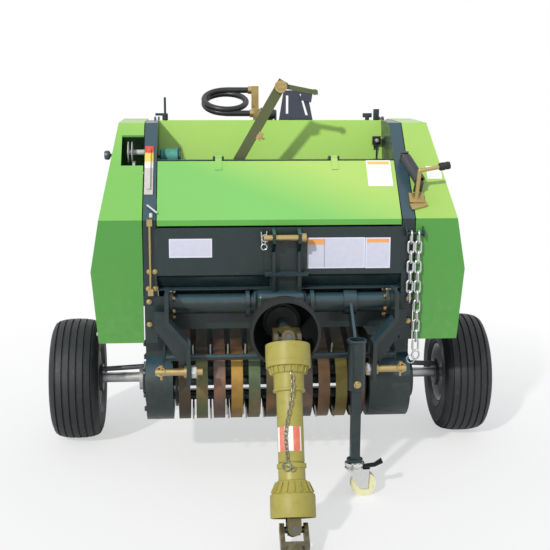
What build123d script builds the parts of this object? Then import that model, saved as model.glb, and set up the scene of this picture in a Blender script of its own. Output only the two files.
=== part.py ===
"""Compact three-point round baler with a fixed chamber of ribbed rollers.

It makes bales about 500 mm across and 740 mm wide.  The crop comes in over a tined pickup at the
front, is rolled up between two side plates by driven rollers, and leaves through a rear gate that
two hydraulic rams swing up.  The baler stands on two ribbed tyres and a caster on a pinned leg.

Units are millimetres.  +X is the baler's left to right as seen from its front, +Y runs from the
hitch back to the gate, +Z is up.  The origin is on the ground, below the middle of its length.
"""
from build123d import *
from math import atan2, cos, degrees, hypot, radians, sin
import os

os.makedirs("parts", exist_ok=True)

# ---------------------------------------------------------------- driving dimensions
AXLE_Y = 287.0            # wheel axle's station along the baler
SHEET = 4.0               # folded sheet metal
FIT = 0.3                 # seat between pieces that lie on each other
RUN = 0.1                 # radial running clearance of pins and shafts
GAP = 6.0                 # least air between pieces that move past each other

CHAMBER_HALF = 370.0      # chamber's side plate, inner face
PLATE = 6.0               # side plate's thickness
FLANGE_OUT = 38.0         # side plate's front flange, outwards
FRONT_Y = AXLE_Y - 420.0  # front face of frame and covers
CREASE_Z = 815.0          # where the upright front turns into the slope
SLOPE_TOP_Y = AXLE_Y - 145.0
TOP_Z = 1085.0            # top of frame and covers
SPLIT_Y = AXLE_Y + 56.0   # rear edge of the fixed frame
COVER_LOW_Z = 440.0       # lower edge of frame front and covers

CHAMBER_Y = AXLE_Y + 60.0
CHAMBER_Z = 655.0
ROLLER_R = 42.0
ROLLER_RIB = 5.0
ROLLER_RIBS = 8
BALE_R = 250.0
ROLLER_CIRCLE_R = BALE_R + ROLLER_R + 3.0
ROLLER_STUB_R = 15.0
FIXED_ROLLER_ANGLES = (98, 125, 152, 179, 237, 262)
GATE_ROLLER_ANGLES = (62, 32, 2, -28, -60)

PICKUP_Y = AXLE_Y - 300.0
PICKUP_Z = 280.0
PICKUP_R = 118.0
PICKUP_LEFT = -327.0      # inner face of the left end case
PICKUP_RIGHT = 283.0      # inner face of the right end case
CASE_OUT = 410.0          # outer face of both end cases
STRIPPER_COUNT = 11
STRIPPER_PITCH = 54.0
STRIPPER_WIDTH = 36.0
STRIPPER_THICK = 3.0
STRIPPER_MID_X = (PICKUP_LEFT + PICKUP_RIGHT) / 2
RAMP_Z = 454.0            # top of the ramp that the strippers make
RAMP_Y = AXLE_Y - 292.0
TINE_TIP_R = 160.0
TINE_BARS = 4
TINE_BAR_CIRCLE_R = 62.0
TINE_BAR_R = 9.0
TINE_R = 2.6

TYRE_R = 205.0
TYRE_WIDTH = 165.0
RIM_R = 101.0
WHEEL_MID_X = 660.0
AXLE_R = 17.0
AXLE_Z = TYRE_R

DRIVE_Y = AXLE_Y - 400.0  # cross tube and gearbox
DRIVE_Z = 555.0
DRIVE_TUBE_R = 30.0

HITCH_Y = AXLE_Y - 500.0
HITCH_PIN_Z = 371.0
HITCH_PIN_R = 11.0
HITCH_LOW_X = 283.0       # bracket's lower leg, where the link pin sits
HITCH_HIGH_X = 345.0
HITCH_BAR = 12.0
TOP_LINK_PIN_R = 9.5
TOP_LINK_Z = 766.0
TOP_LINK_GAP = 76.0

JOINT_Y = AXLE_Y - 700.0  # rear universal joint of the drive shaft
JOINT_Z = 520.0
SHAFT_LENGTH = 515.0      # between the two joint centres
SHAFT_FALL = 63.0         # degrees below level as it hangs
TAIL_FALL = 30.0          # and its free yoke, lying on the ground
PTO_BORE_R = 17.5
EAR_BASE = 55.0           # joint centre to the yoke's base
EAR_IN = 26.0
EAR_OUT = 38.0
EAR_R = 18.0
TRUNNION_R = 9.0

STAND_X = 215.0
STAND_Y = AXLE_Y - 572.0
LEG_SIDE = 28.0
SLEEVE_R = 26.0
CASTER_R = 37.5
CASTER_TRAIL = 26.0

GATE_PIVOT_Y = AXLE_Y + 64.0
GATE_PIVOT_Z = 1068.0
GATE_PLATE_IN = CHAMBER_HALF + PLATE + GAP
GATE_PLATE_OUT = GATE_PLATE_IN + PLATE
GATE_PIN_R = 12.0
GATE_SWING = 60.0         # degrees from shut to fully open

RAM_BASE = (AXLE_Y + 30.0, 1104.0)
RAM_EYE = (AXLE_Y + 255.0, 1092.0)
RAM_BARREL_R = 21.0
RAM_ROD_R = 11.0
RAM_PIN_R = 8.0
RAM_EAR_IN = 14.0
RAM_EAR_OUT = 20.0

TWINE_ARM_X = -140.0
TWINE_ARM_Y = AXLE_Y - 200.0
TWINE_ARM_Z = 930.0
TWINE_ARM_LENGTH = 342.0
TWINE_ARM_LEAN = 30.0

SIDES = (("left", -1), ("right", 1))


# ---------------------------------------------------------------- helpers
def box(x0, x1, y0, y1, z0, z1):
    """A block between two corners."""
    return Pos((x0 + x1) / 2, (y0 + y1) / 2, (z0 + z1) / 2) * Box(abs(x1 - x0), abs(y1 - y0), abs(z1 - z0))


def rod(start, end, radius):
    """A round bar from one point to another."""
    a, b = Vector(*start), Vector(*end)
    return Plane(a, z_dir=b - a) * Cylinder(radius, (b - a).length, align=(Align.CENTER, Align.CENTER, Align.MIN))


def tube(start, end, outer, inner):
    """A round tube from one point to another."""
    return rod(start, end, outer) - rod(start, end, inner)


def slab_x(outline, x0, x1, corner=0.0):
    """A plate in the Y-Z plane from x0 to x1, with its corners rounded."""
    face = make_face(Polyline(*outline, close=True))
    if corner:
        face = fillet(face.vertices(), corner)
    return extrude(Plane.YZ.offset(min(x0, x1)) * face, abs(x1 - x0))


def slab_y(outline, y0, y1, corner=0.0):
    """A plate in the X-Z plane from y0 to y1, with its corners rounded."""
    face = make_face(Polyline(*outline, close=True))
    if corner:
        face = fillet(face.vertices(), corner)
    return extrude(Plane.XZ.offset(-max(y0, y1)) * face, abs(y1 - y0))


def sheet_outline(path, thick):
    """The closed outline of a bent sheet: its path, and the same path moved sideways by its thickness."""
    moved = []
    for i, (y, z) in enumerate(path):
        before = path[max(i - 1, 0)]
        after = path[min(i + 1, len(path) - 1)]
        normals = []
        for a, b in ((before, (y, z)), ((y, z), after)):
            run = hypot(b[0] - a[0], b[1] - a[1])
            if run:
                normals.append(((a[1] - b[1]) / run, (b[0] - a[0]) / run))
        n0, n1 = normals[0], normals[-1]
        scale = thick / (1 + n0[0] * n1[0] + n0[1] * n1[1])
        moved.append((y + (n0[0] + n1[0]) * scale, z + (n0[1] + n1[1]) * scale))
    return list(path) + moved[::-1]


def bent_sheet(path, thick, x0, x1):
    """A sheet folded along X, given by its path in Y-Z; the thickness lies to the left of the path."""
    return slab_x(sheet_outline(path, thick), x0, x1)


def on_circle(y, z, radius, angle):
    """The point (Y, Z) at an angle from +Y towards +Z."""
    return (y + radius * cos(radians(angle)), z + radius * sin(radians(angle)))


def save(name, *solids):
    """Writes one node."""
    shape = solids[0] if len(solids) == 1 else Compound(children=[s for s in solids])
    export_step(shape, f"parts/{name}.step")


def joined(first, *others):
    """One solid fused from several."""
    for other in others:
        first = first + other
    return first


# ---------------------------------------------------------------- side frames
# Each side plate carries a row of roller shafts; its front edge is folded outwards into a flange.
FRAME_OUTLINE = [
    (FRONT_Y, COVER_LOW_Z), (FRONT_Y, CREASE_Z), (SLOPE_TOP_Y, TOP_Z), (SPLIT_Y, TOP_Z), (SPLIT_Y, 330),
    (AXLE_Y + 60, 150), (AXLE_Y - 60, 150), (AXLE_Y - 110, 300), (AXLE_Y - 170, COVER_LOW_Z),
]
FRONT_PATH = [(FRONT_Y, COVER_LOW_Z), (FRONT_Y, CREASE_Z), (SLOPE_TOP_Y, TOP_Z), (SPLIT_Y - 50, TOP_Z)]
FLANGE_PATH = sheet_outline(FRONT_PATH[::-1], PLATE)
MOUNT_PLATE_X = 440.0     # outer face of the box that carries the stub axle
GATE_EAR_R = 26.0

for side, sign in SIDES:
    inner, outer = sign * CHAMBER_HALF, sign * (CHAMBER_HALF + PLATE)
    frame = slab_x(FRAME_OUTLINE, inner, outer)
    frame += slab_x(FLANGE_PATH, inner, sign * (CHAMBER_HALF + FLANGE_OUT))
    for angle in FIXED_ROLLER_ANGLES:
        y, z = on_circle(CHAMBER_Y, CHAMBER_Z, ROLLER_CIRCLE_R, angle)
        frame += rod((outer, y, z), (outer + sign * 12, y, z), 32)
        frame -= rod((inner - sign, y, z), (outer + sign * 20, y, z), ROLLER_STUB_R + RUN)
    axle_box = box(outer, sign * MOUNT_PLATE_X, AXLE_Y - 48, AXLE_Y + 48, AXLE_Z - 42, AXLE_Z + 42)
    frame += axle_box
    frame -= rod((outer + sign * 30, AXLE_Y, AXLE_Z), (sign * (MOUNT_PLATE_X + 5), AXLE_Y, AXLE_Z), AXLE_R + RUN)
    frame += rod((inner, GATE_PIVOT_Y, GATE_PIVOT_Z), (outer, GATE_PIVOT_Y, GATE_PIVOT_Z), GATE_EAR_R)
    frame += rod((outer, GATE_PIVOT_Y, GATE_PIVOT_Z), (sign * (GATE_PLATE_OUT + 10), GATE_PIVOT_Y, GATE_PIVOT_Z), GATE_PIN_R)
    save(f"side_frame_{side}", frame)

# ---------------------------------------------------------------- stub axles and wheels
axles = []
for side, sign in SIDES:
    flange = rod((sign * (MOUNT_PLATE_X + FIT), AXLE_Y, AXLE_Z), (sign * (MOUNT_PLATE_X + 12), AXLE_Y, AXLE_Z), 44)
    shaft = rod((sign * (CHAMBER_HALF + PLATE + 31), AXLE_Y, AXLE_Z), (sign * (WHEEL_MID_X + 48), AXLE_Y, AXLE_Z), AXLE_R)
    axles.append(flange + shaft)
    near, far = sign * (WHEEL_MID_X - TYRE_WIDTH / 2), sign * (WHEEL_MID_X + TYRE_WIDTH / 2)

    half = TYRE_WIDTH / 2
    tyre_profile = [
        (-half + 14, RIM_R + FIT), (-half, RIM_R + 34), (-half, TYRE_R - 44), (-half + 12, TYRE_R - 12), (-half + 30, TYRE_R - 2),
        (0, TYRE_R), (half - 30, TYRE_R - 2), (half - 12, TYRE_R - 12), (half, TYRE_R - 44), (half, RIM_R + 34),
        (half - 14, RIM_R + FIT),
    ]
    hub_frame = Plane((sign * WHEEL_MID_X, AXLE_Y, AXLE_Z), x_dir=(1, 0, 0), z_dir=(0, -1, 0))
    tyre_face = hub_frame * make_face(Polyline(*tyre_profile, close=True))
    wheel_axis = Axis((sign * WHEEL_MID_X, AXLE_Y, AXLE_Z), (1, 0, 0))
    save(f"tyre_{side}", revolve(tyre_face, wheel_axis))

    bead = half - 14
    rim_profile = [
        (-bead, RIM_R), (-bead, RIM_R - 10), (-bead + 12, RIM_R - 16), (-20, RIM_R - 22), (-14, RIM_R - 22), (-14, 44),
        (-52, 36), (-52, AXLE_R + RUN), (44, AXLE_R + RUN), (44, 34), (-6, 44), (-6, RIM_R - 22), (bead - 12, RIM_R - 16),
        (bead, RIM_R - 10), (bead, RIM_R),
    ]
    mirrored = [(sign * x, r) for x, r in rim_profile]
    save(f"wheel_{side}", revolve(hub_frame * make_face(Polyline(*mirrored, close=True)), wheel_axis))
save("stub_axles", *axles)

# ---------------------------------------------------------------- chamber rollers
# Pressed steel rollers: a drum with rounded ribs along it, on a stub shaft at each end.
RIB_HALF_ANGLE = 9.0


def roller(angle, half_length, stub_end):
    """One ribbed roller at an angle round the chamber."""
    y, z = on_circle(CHAMBER_Y, CHAMBER_Z, ROLLER_CIRCLE_R, angle)
    outline = []
    for k in range(ROLLER_RIBS):
        middle = angle + k * 360 / ROLLER_RIBS
        for turn, radius in ((-RIB_HALF_ANGLE - 6, ROLLER_R - ROLLER_RIB), (-RIB_HALF_ANGLE, ROLLER_R),
                             (RIB_HALF_ANGLE, ROLLER_R), (RIB_HALF_ANGLE + 6, ROLLER_R - ROLLER_RIB)):
            outline.append(on_circle(y, z, radius, middle + turn))
    drum = slab_x(outline, -half_length, half_length)
    return drum + rod((-stub_end, y, z), (stub_end, y, z), ROLLER_STUB_R)


fixed_end = CHAMBER_HALF + PLATE + 10
save("chamber_rollers", *[roller(a, CHAMBER_HALF - 2, fixed_end) for a in FIXED_ROLLER_ANGLES])

# ---------------------------------------------------------------- rear gate
# Two round-backed side plates with their rollers, two cross beams, and a hollow green cover outside each plate.
GATE_FRONT_Y = SPLIT_Y + 10
GATE_R = 352.0
GATE_BEAMS = [(AXLE_Y + 270, 985), (AXLE_Y + 386, 560)]
RAM_EYE_PLAY = 6.0        # lets the eye find its way as the ram tilts
gate_parts = []
for side, sign in SIDES:
    inner, outer = sign * GATE_PLATE_IN, sign * GATE_PLATE_OUT
    disc = rod((inner, CHAMBER_Y, CHAMBER_Z), (outer, CHAMBER_Y, CHAMBER_Z), GATE_R)
    disc -= box(inner - sign * 5, outer + sign * 5, CHAMBER_Y - 500, GATE_FRONT_Y, 0, 1200)
    ear = slab_x([(GATE_PIVOT_Y - GATE_EAR_R, GATE_PIVOT_Z), (GATE_PIVOT_Y + GATE_EAR_R / 2, GATE_PIVOT_Z + GATE_EAR_R * 0.87),
                  (AXLE_Y + 300, 1010), (AXLE_Y + 300, 800), (GATE_FRONT_Y, 800), (GATE_FRONT_Y, GATE_PIVOT_Z - 90)], inner, outer)
    plate = disc + ear + rod((inner, GATE_PIVOT_Y, GATE_PIVOT_Z), (outer, GATE_PIVOT_Y, GATE_PIVOT_Z), GATE_EAR_R)
    plate -= rod((inner - sign * 5, GATE_PIVOT_Y, GATE_PIVOT_Z), (outer + sign * 5, GATE_PIVOT_Y, GATE_PIVOT_Z), GATE_PIN_R + RUN)
    for angle in GATE_ROLLER_ANGLES:
        y, z = on_circle(CHAMBER_Y, CHAMBER_Z, ROLLER_CIRCLE_R, angle)
        plate += rod((outer, y, z), (outer + sign * 12, y, z), 32)
        plate -= rod((inner - sign * 2, y, z), (outer + sign * 20, y, z), ROLLER_STUB_R + RUN)
    gate_parts.append(plate)
gate_left, gate_right = gate_parts
gate_frame = gate_left
for y, z in GATE_BEAMS:
    gate_frame += box(-GATE_PLATE_IN, GATE_PLATE_IN, y - 20, y + 20, z - 20, z + 20)
gate_frame += gate_right
lug_y, lug_z = GATE_BEAMS[0]
for sign in (-1, 1):
    lug = slab_x([(lug_y - 20, lug_z + 18), (lug_y + 20, lug_z + 18), (RAM_EYE[0] + 23, RAM_EYE[1]), (RAM_EYE[0] - 23, RAM_EYE[1])],
                 sign * RAM_EAR_IN, sign * RAM_EAR_OUT)
    gate_frame += lug + rod((sign * RAM_EAR_IN, *RAM_EYE), (sign * RAM_EAR_OUT, *RAM_EYE), 23)
gate_frame -= rod((-RAM_EAR_OUT - 1, *RAM_EYE), (RAM_EAR_OUT + 1, *RAM_EYE), RAM_PIN_R + RAM_EYE_PLAY)
save("gate_frame", gate_frame)
gate_end = GATE_PLATE_OUT + 10
save("gate_rollers", *[roller(a, GATE_PLATE_IN - 2, gate_end) for a in GATE_ROLLER_ANGLES])

# ---------------------------------------------------------------- side covers
# Folded sheet shells, open inwards and below.  The outer wall bulges at mid height.
COVER_IN = CHAMBER_HALF + FLANGE_OUT + 3
BULGE_Z = 660.0
COVER_LOW_X, COVER_BULGE_X, COVER_TOP_X = 548.0, 566.0, 492.0


def cover_shell(sign, outline):
    """A shell: the side outline extruded, cut to the bulged section, and hollowed from the inner side and below."""
    section = [(COVER_IN, COVER_LOW_Z), (COVER_LOW_X, COVER_LOW_Z), (COVER_BULGE_X, BULGE_Z), (COVER_TOP_X, TOP_Z), (COVER_IN, TOP_Z)]
    inside = [(COVER_IN - 5, COVER_LOW_Z - 5), (COVER_LOW_X - SHEET, COVER_LOW_Z - 5), (COVER_BULGE_X - SHEET, BULGE_Z),
              (COVER_TOP_X - SHEET, TOP_Z + 5), (COVER_IN - 5, TOP_Z + 5)]
    low_y, high_y = min(p[0] for p in outline) - 5, max(p[0] for p in outline) + 5
    solid = slab_x(outline, sign * COVER_IN, sign * 600) & slab_y([(sign * x, z) for x, z in section], low_y, high_y)
    core = slab_x(outline, sign * (COVER_IN - 5), sign * 600)
    cut_outline = offset(make_face(Polyline(*outline, close=True)), -SHEET, kind=Kind.INTERSECTION)
    core = extrude(Plane.YZ.offset(min(sign * (COVER_IN - 5), sign * 600)) * cut_outline, 600 - COVER_IN + 5)
    core += Pos(0, 0, -SHEET - 1) * core
    core &= slab_y([(sign * x, z) for x, z in inside], low_y, high_y)
    return solid - core


FIXED_COVER = [(FRONT_Y, COVER_LOW_Z), (FRONT_Y, CREASE_Z), (SLOPE_TOP_Y, TOP_Z), (SPLIT_Y, TOP_Z), (SPLIT_Y, COVER_LOW_Z)]
GATE_COVER = [(GATE_FRONT_Y, COVER_LOW_Z), (GATE_FRONT_Y, TOP_Z - 16), (GATE_FRONT_Y + 30, TOP_Z), (AXLE_Y + 250, TOP_Z - 20),
              (AXLE_Y + 385, 960), (AXLE_Y + 440, 800), (AXLE_Y + 440, 590), (AXLE_Y + 400, COVER_LOW_Z)]
COVER_STRUT_END = COVER_LOW_X + 8
for side, sign in SIDES:
    cover = cover_shell(sign, FIXED_COVER)
    cover -= box(sign * (COVER_IN - 5), sign * (COVER_TOP_X - 10), SPLIT_Y - 10, SPLIT_Y + 5, COVER_LOW_Z - 5, TOP_Z - SHEET)
    if side == "left":
        cover -= box(-479, -(COVER_IN - 5), FRONT_Y + 150, FRONT_Y + 238, CREASE_Z + 60, TOP_Z - 12)
    cover += box(sign * (CHAMBER_HALF + PLATE + FIT), sign * COVER_STRUT_END, AXLE_Y - 312, AXLE_Y - 288, 560, 584)
    save(f"side_cover_{side}", cover)

    cover = cover_shell(sign, GATE_COVER)
    cover += box(sign * (GATE_PLATE_OUT + FIT), sign * COVER_STRUT_END, AXLE_Y + 300, AXLE_Y + 324, 560, 584)
    save(f"gate_cover_{side}", cover)

# ---------------------------------------------------------------- front sheets
PANEL_HALF = CHAMBER_HALF - FIT
panel_path = [(FRONT_Y, CREASE_Z - 24), (FRONT_Y, 647), (FRONT_Y + 10, 640), (FRONT_Y + 28, 608)]
save("front_panel", bent_sheet(panel_path, SHEET, -PANEL_HALF, PANEL_HALF))

HOOD_HINGE = (AXLE_Y - 252, 983)
HOOD_HINGE_X = 180
HOOD_HALF = CHAMBER_HALF - 3
hood_path = [(HOOD_HINGE[0] - 14, HOOD_HINGE[1] - 8), (FRONT_Y + 2, CREASE_Z - 1), (FRONT_Y + 2, CREASE_Z - 18)]
hood = bent_sheet(hood_path, SHEET, -HOOD_HALF, HOOD_HALF)
for x in (-HOOD_HINGE_X, HOOD_HINGE_X):
    leaf = bent_sheet([(HOOD_HINGE[0] - 2, HOOD_HINGE[1] + 6), (HOOD_HINGE[0] - 40, HOOD_HINGE[1] - 32)], 3, x - 10, x + 10)
    hood += leaf + rod((x - 10, *HOOD_HINGE), (x + 10, *HOOD_HINGE), 7)
    hood -= rod((x - 30, *HOOD_HINGE), (x + 30, *HOOD_HINGE), 3 + RUN)
save("hood", hood)

back_path = [(AXLE_Y + 10, TOP_Z - 12), (AXLE_Y + 10, TOP_Z), (AXLE_Y - 2, TOP_Z), (AXLE_Y - 44, 930)]
back_panel = bent_sheet(back_path, SHEET, -PANEL_HALF, PANEL_HALF)
eyelet = (350, 1000)
eyelet_y = AXLE_Y - 15
back_panel -= box(eyelet[0] - 8, eyelet[0] + 8, eyelet_y - 15, eyelet_y + 15, eyelet[1] - 12, eyelet[1] + 12)
save("back_panel", back_panel)

HOOD_BEAM_Y = HOOD_HINGE[0] + 22
hood_beam = box(-PANEL_HALF, PANEL_HALF, HOOD_BEAM_Y - 12, HOOD_BEAM_Y + 12, 952, 976)
for x in (-HOOD_HINGE_X, HOOD_HINGE_X):
    for end in (-1, 1):
        hood_beam += slab_x([(HOOD_HINGE[0] - 6, HOOD_HINGE[1] - 8), (HOOD_HINGE[0] - 6, HOOD_HINGE[1] + 5),
                             (HOOD_HINGE[0] + 6, HOOD_HINGE[1] + 6), (HOOD_BEAM_Y + 8, 975), (HOOD_BEAM_Y - 12, 962)],
                            x + end * 11, x + end * 17)
    hood_beam += rod((x - 17, *HOOD_HINGE), (x + 17, *HOOD_HINGE), 3)
top_beam_y = AXLE_Y + 30
beam = box(-PANEL_HALF, PANEL_HALF, top_beam_y - 14, top_beam_y + 14, 1036, 1066)
for sign in (-1, 1):
    beam += slab_x([(RAM_BASE[0] - 14, 1060), (RAM_BASE[0] + 14, 1060), (RAM_BASE[0] + 14, RAM_BASE[1]), (RAM_BASE[0] - 14, RAM_BASE[1])],
                   sign * RAM_EAR_IN, sign * RAM_EAR_OUT)
    beam += rod((sign * RAM_EAR_IN, *RAM_BASE), (sign * RAM_EAR_OUT, *RAM_BASE), 14)
beam += rod((-RAM_EAR_OUT, *RAM_BASE), (RAM_EAR_OUT, *RAM_BASE), RAM_PIN_R)
save("cross_beams", hood_beam, beam)

# ---------------------------------------------------------------- gate ram
ram_line = Vector(0, RAM_EYE[0] - RAM_BASE[0], RAM_EYE[1] - RAM_BASE[1])
ram_dir = ram_line.normalized()
base, eye = Vector(0, *RAM_BASE), Vector(0, *RAM_EYE)
RAM_HEAD = 150.0          # base pin to the barrel's open end


def along(start, distance):
    """A point on the ram's line."""
    point = start + ram_dir * distance
    return (point.X, point.Y, point.Z)


barrel = rod(along(base, 20), along(base, RAM_HEAD), RAM_BARREL_R)
barrel += rod((-12, *RAM_BASE), (12, *RAM_BASE), 16) + rod(along(base, 5), along(base, 25), 11)
_, port_y, port_z = along(base, 130)
barrel += rod((0, port_y, port_z + 15), (0, port_y, port_z + 32), 9)
barrel -= rod(along(base, 32), along(base, RAM_HEAD + 5), RAM_ROD_R + RUN)
barrel -= rod((-20, *RAM_BASE), (20, *RAM_BASE), RAM_PIN_R + RUN)
save("ram_barrel", barrel)
ram_rod = rod(along(eye, 0), along(eye, -135), RAM_ROD_R) + rod((-12, *RAM_EYE), (12, *RAM_EYE), 15)
ram_rod += rod((-25, *RAM_EYE), (25, *RAM_EYE), RAM_PIN_R)
save("ram_rod", ram_rod)

# ---------------------------------------------------------------- drive line
TUBE_END_X = HITCH_HIGH_X - HITCH_BAR - FIT
cross_tube = rod((-TUBE_END_X, DRIVE_Y, DRIVE_Z), (TUBE_END_X, DRIVE_Y, DRIVE_Z), DRIVE_TUBE_R)
for sign in (-1, 1):
    cross_tube += rod((sign * (TUBE_END_X - 10), DRIVE_Y, DRIVE_Z), (sign * TUBE_END_X, DRIVE_Y, DRIVE_Z), 46)
    cross_tube += rod((sign * 92, DRIVE_Y, DRIVE_Z), (sign * 104, DRIVE_Y, DRIVE_Z), 42)
cross_tube -= rod((-80, DRIVE_Y, DRIVE_Z), (80, DRIVE_Y, DRIVE_Z), 60)
save("cross_tube", cross_tube)

INPUT_Z = JOINT_Z
case = Pos(0, DRIVE_Y, DRIVE_Z - 20) * Box(150, 150, 130)
case = fillet(case.edges(), 18)
case += rod((-80 + FIT, DRIVE_Y, DRIVE_Z), (80 - FIT, DRIVE_Y, DRIVE_Z), 40)
case += rod((0, DRIVE_Y - 70, INPUT_Z), (0, DRIVE_Y - 104, INPUT_Z), 46)
case += rod((0, DRIVE_Y - 104, INPUT_Z), (0, JOINT_Y + EAR_BASE + 20, INPUT_Z), 17)
save("gearbox", case)

GUARD_FRONT_Y = AXLE_Y - 650
guard_profile = [(92, GUARD_FRONT_Y), (100, GUARD_FRONT_Y), (100, GUARD_FRONT_Y + 60), (62, DRIVE_Y - 90), (46 + RUN, DRIVE_Y - 90),
                 (46 + RUN, DRIVE_Y - 96), (56, DRIVE_Y - 96), (92, GUARD_FRONT_Y + 56)]
guard_face = make_face(Polyline(*[(x, y, INPUT_Z) for x, y in guard_profile], close=True))
save("drive_guard", revolve(guard_face, Axis((0, 0, INPUT_Z), (0, 1, 0))))


def yoke(origin, axis, ear_axis, base_length, ear_out=EAR_OUT):
    """A joint's yoke: two rounded ears on a base disc, pointing from the joint centre along an axis."""
    frame = Plane(origin, x_dir=ear_axis, z_dir=axis)
    ears = None
    for sign in (-1, 1):
        ear = Pos(sign * (EAR_IN + ear_out) / 2, 0, 0) * Rot(0, 90, 0) * Cylinder(EAR_R, ear_out - EAR_IN)
        ear += Pos(sign * (EAR_IN + ear_out) / 2, 0, EAR_BASE / 2) * Box(ear_out - EAR_IN, 2 * EAR_R, EAR_BASE)
        ears = ear if ears is None else ears + ear
    disc = Pos(0, 0, EAR_BASE + base_length / 2) * Cylinder(24, base_length)
    web = Pos(0, 0, EAR_BASE) * Box(2 * ear_out, 2 * EAR_R, 14)
    solid = ears + disc + web
    solid -= Rot(0, 90, 0) * Cylinder(TRUNNION_R + RUN, 4 * ear_out)
    return frame * solid


def joint_cross(origin, first, second):
    """The cross between two yokes."""
    reach, core = Vector(*first) * (EAR_OUT - 2), Vector(*first) * 17
    cross = rod(origin - reach, origin + reach, TRUNNION_R) + rod(origin - core, origin + core, 15)
    reach = Vector(*second) * (EAR_OUT - 2)
    return cross + rod(origin - reach, origin + reach, TRUNNION_R)


fall = radians(SHAFT_FALL)
shaft_dir = Vector(0, -cos(fall), -sin(fall))
shaft_up = Vector(0, -sin(fall), cos(fall))
rear_joint = Vector(0, JOINT_Y, JOINT_Z)
front_joint = rear_joint + shaft_dir * SHAFT_LENGTH
tail_fall = radians(TAIL_FALL)
tail_dir = Vector(0, -cos(tail_fall), -sin(tail_fall))


def down(distance, start=None):
    """A point along the hanging shaft."""
    p = (rear_joint if start is None else start) + shaft_dir * distance
    return (p.X, p.Y, p.Z)


input_yoke = yoke(rear_joint, (0, 1, 0), (1, 0, 0), 22)
input_yoke -= rod((0, JOINT_Y + EAR_BASE + 20, INPUT_Z), (0, JOINT_Y + EAR_BASE + 60, INPUT_Z), 17)
save("input_yoke", input_yoke)
save("rear_cross", joint_cross(rear_joint, (1, 0, 0), shaft_up))

SHAFT_SPLIT = 250.0       # where the front half slides into the rear half's tube
rear_half = yoke(rear_joint, shaft_dir, shaft_up, 16)
rear_half += tube(down(60), down(SHAFT_SPLIT), 35, 27)
rear_half += tube(down(60), down(84), 35, 12)
rear_half += tube(down(66), down(80), 62, 34)
rear_half += rod(down(70), down(330), 15 - RUN)
save("shaft_rear", rear_half)

front_half = yoke(front_joint, (-shaft_dir), shaft_up, 16)
front_half += tube(down(SHAFT_LENGTH - 60), down(100), 25, 15)
front_half += tube(down(SHAFT_LENGTH - 60), down(SHAFT_SPLIT + 50), 33, 24)
front_half += tube(down(SHAFT_LENGTH - 84), down(SHAFT_LENGTH - 62), 33, 12)
save("shaft_front", front_half)
save("front_cross", joint_cross(front_joint, (1, 0, 0), shaft_up))
tail = yoke(front_joint, tail_dir, (1, 0, 0), 24)
tail_end = front_joint + tail_dir * (EAR_BASE + 40)
tail_start = front_joint + tail_dir * 40
tail -= rod(tail_start, tail_end, PTO_BORE_R)
save("tail_yoke", tail)

# ---------------------------------------------------------------- three-point hitch
brackets = []
for sign in (-1, 1):
    outline = [(sign * (HITCH_HIGH_X - HITCH_BAR), 612), (sign * (HITCH_HIGH_X - HITCH_BAR), 530), (sign * (HITCH_LOW_X - HITCH_BAR), 458),
               (sign * (HITCH_LOW_X - HITCH_BAR), 337), (sign * HITCH_LOW_X, 337), (sign * HITCH_LOW_X, 452),
               (sign * HITCH_HIGH_X, 525), (sign * HITCH_HIGH_X, 612)]
    bracket = slab_y(outline, HITCH_Y - 30, HITCH_Y + 30)
    gusset = [(sign * HITCH_LOW_X, 360), (sign * HITCH_LOW_X, 455), (sign * HITCH_HIGH_X, 528), (sign * HITCH_HIGH_X, 548),
              (sign * (CHAMBER_HALF + 8), 548), (sign * (CHAMBER_HALF + 8), 500)]
    bracket += slab_y(gusset, HITCH_Y + 22, HITCH_Y + 30)
    bracket += slab_x([(HITCH_Y - 30, 612), (FRONT_Y - 4, 612), (FRONT_Y - 4, 598), (DRIVE_Y + 48, 598), (DRIVE_Y + 48, 507),
                       (HITCH_Y + 20, 507), (HITCH_Y + 20, 540), (HITCH_Y - 30, 540)], sign * (HITCH_HIGH_X - HITCH_BAR), sign * HITCH_HIGH_X)
    bracket += box(sign * (HITCH_HIGH_X - 1), sign * (CHAMBER_HALF + 8), FRONT_Y - 8, FRONT_Y - FIT, 470, 585)
    bracket -= rod((sign * 200, HITCH_Y, HITCH_PIN_Z), (sign * 400, HITCH_Y, HITCH_PIN_Z), HITCH_PIN_R + RUN)
    brackets.append(bracket)
save("hitch_brackets", *brackets)

link_pins = []
for sign in (-1, 1):
    pin = rod((sign * 236, HITCH_Y, HITCH_PIN_Z), (sign * 376, HITCH_Y, HITCH_PIN_Z), HITCH_PIN_R)
    pin += rod((sign * (HITCH_LOW_X + FIT), HITCH_Y, HITCH_PIN_Z), (sign * (HITCH_LOW_X + 8), HITCH_Y, HITCH_PIN_Z), 17)
    pin += rod((sign * (HITCH_LOW_X - HITCH_BAR - FIT), HITCH_Y, HITCH_PIN_Z), (sign * (HITCH_LOW_X - HITCH_BAR - 18), HITCH_Y, HITCH_PIN_Z), 17)
    link_pins.append(pin)
save("lower_link_pins", *link_pins)

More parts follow.
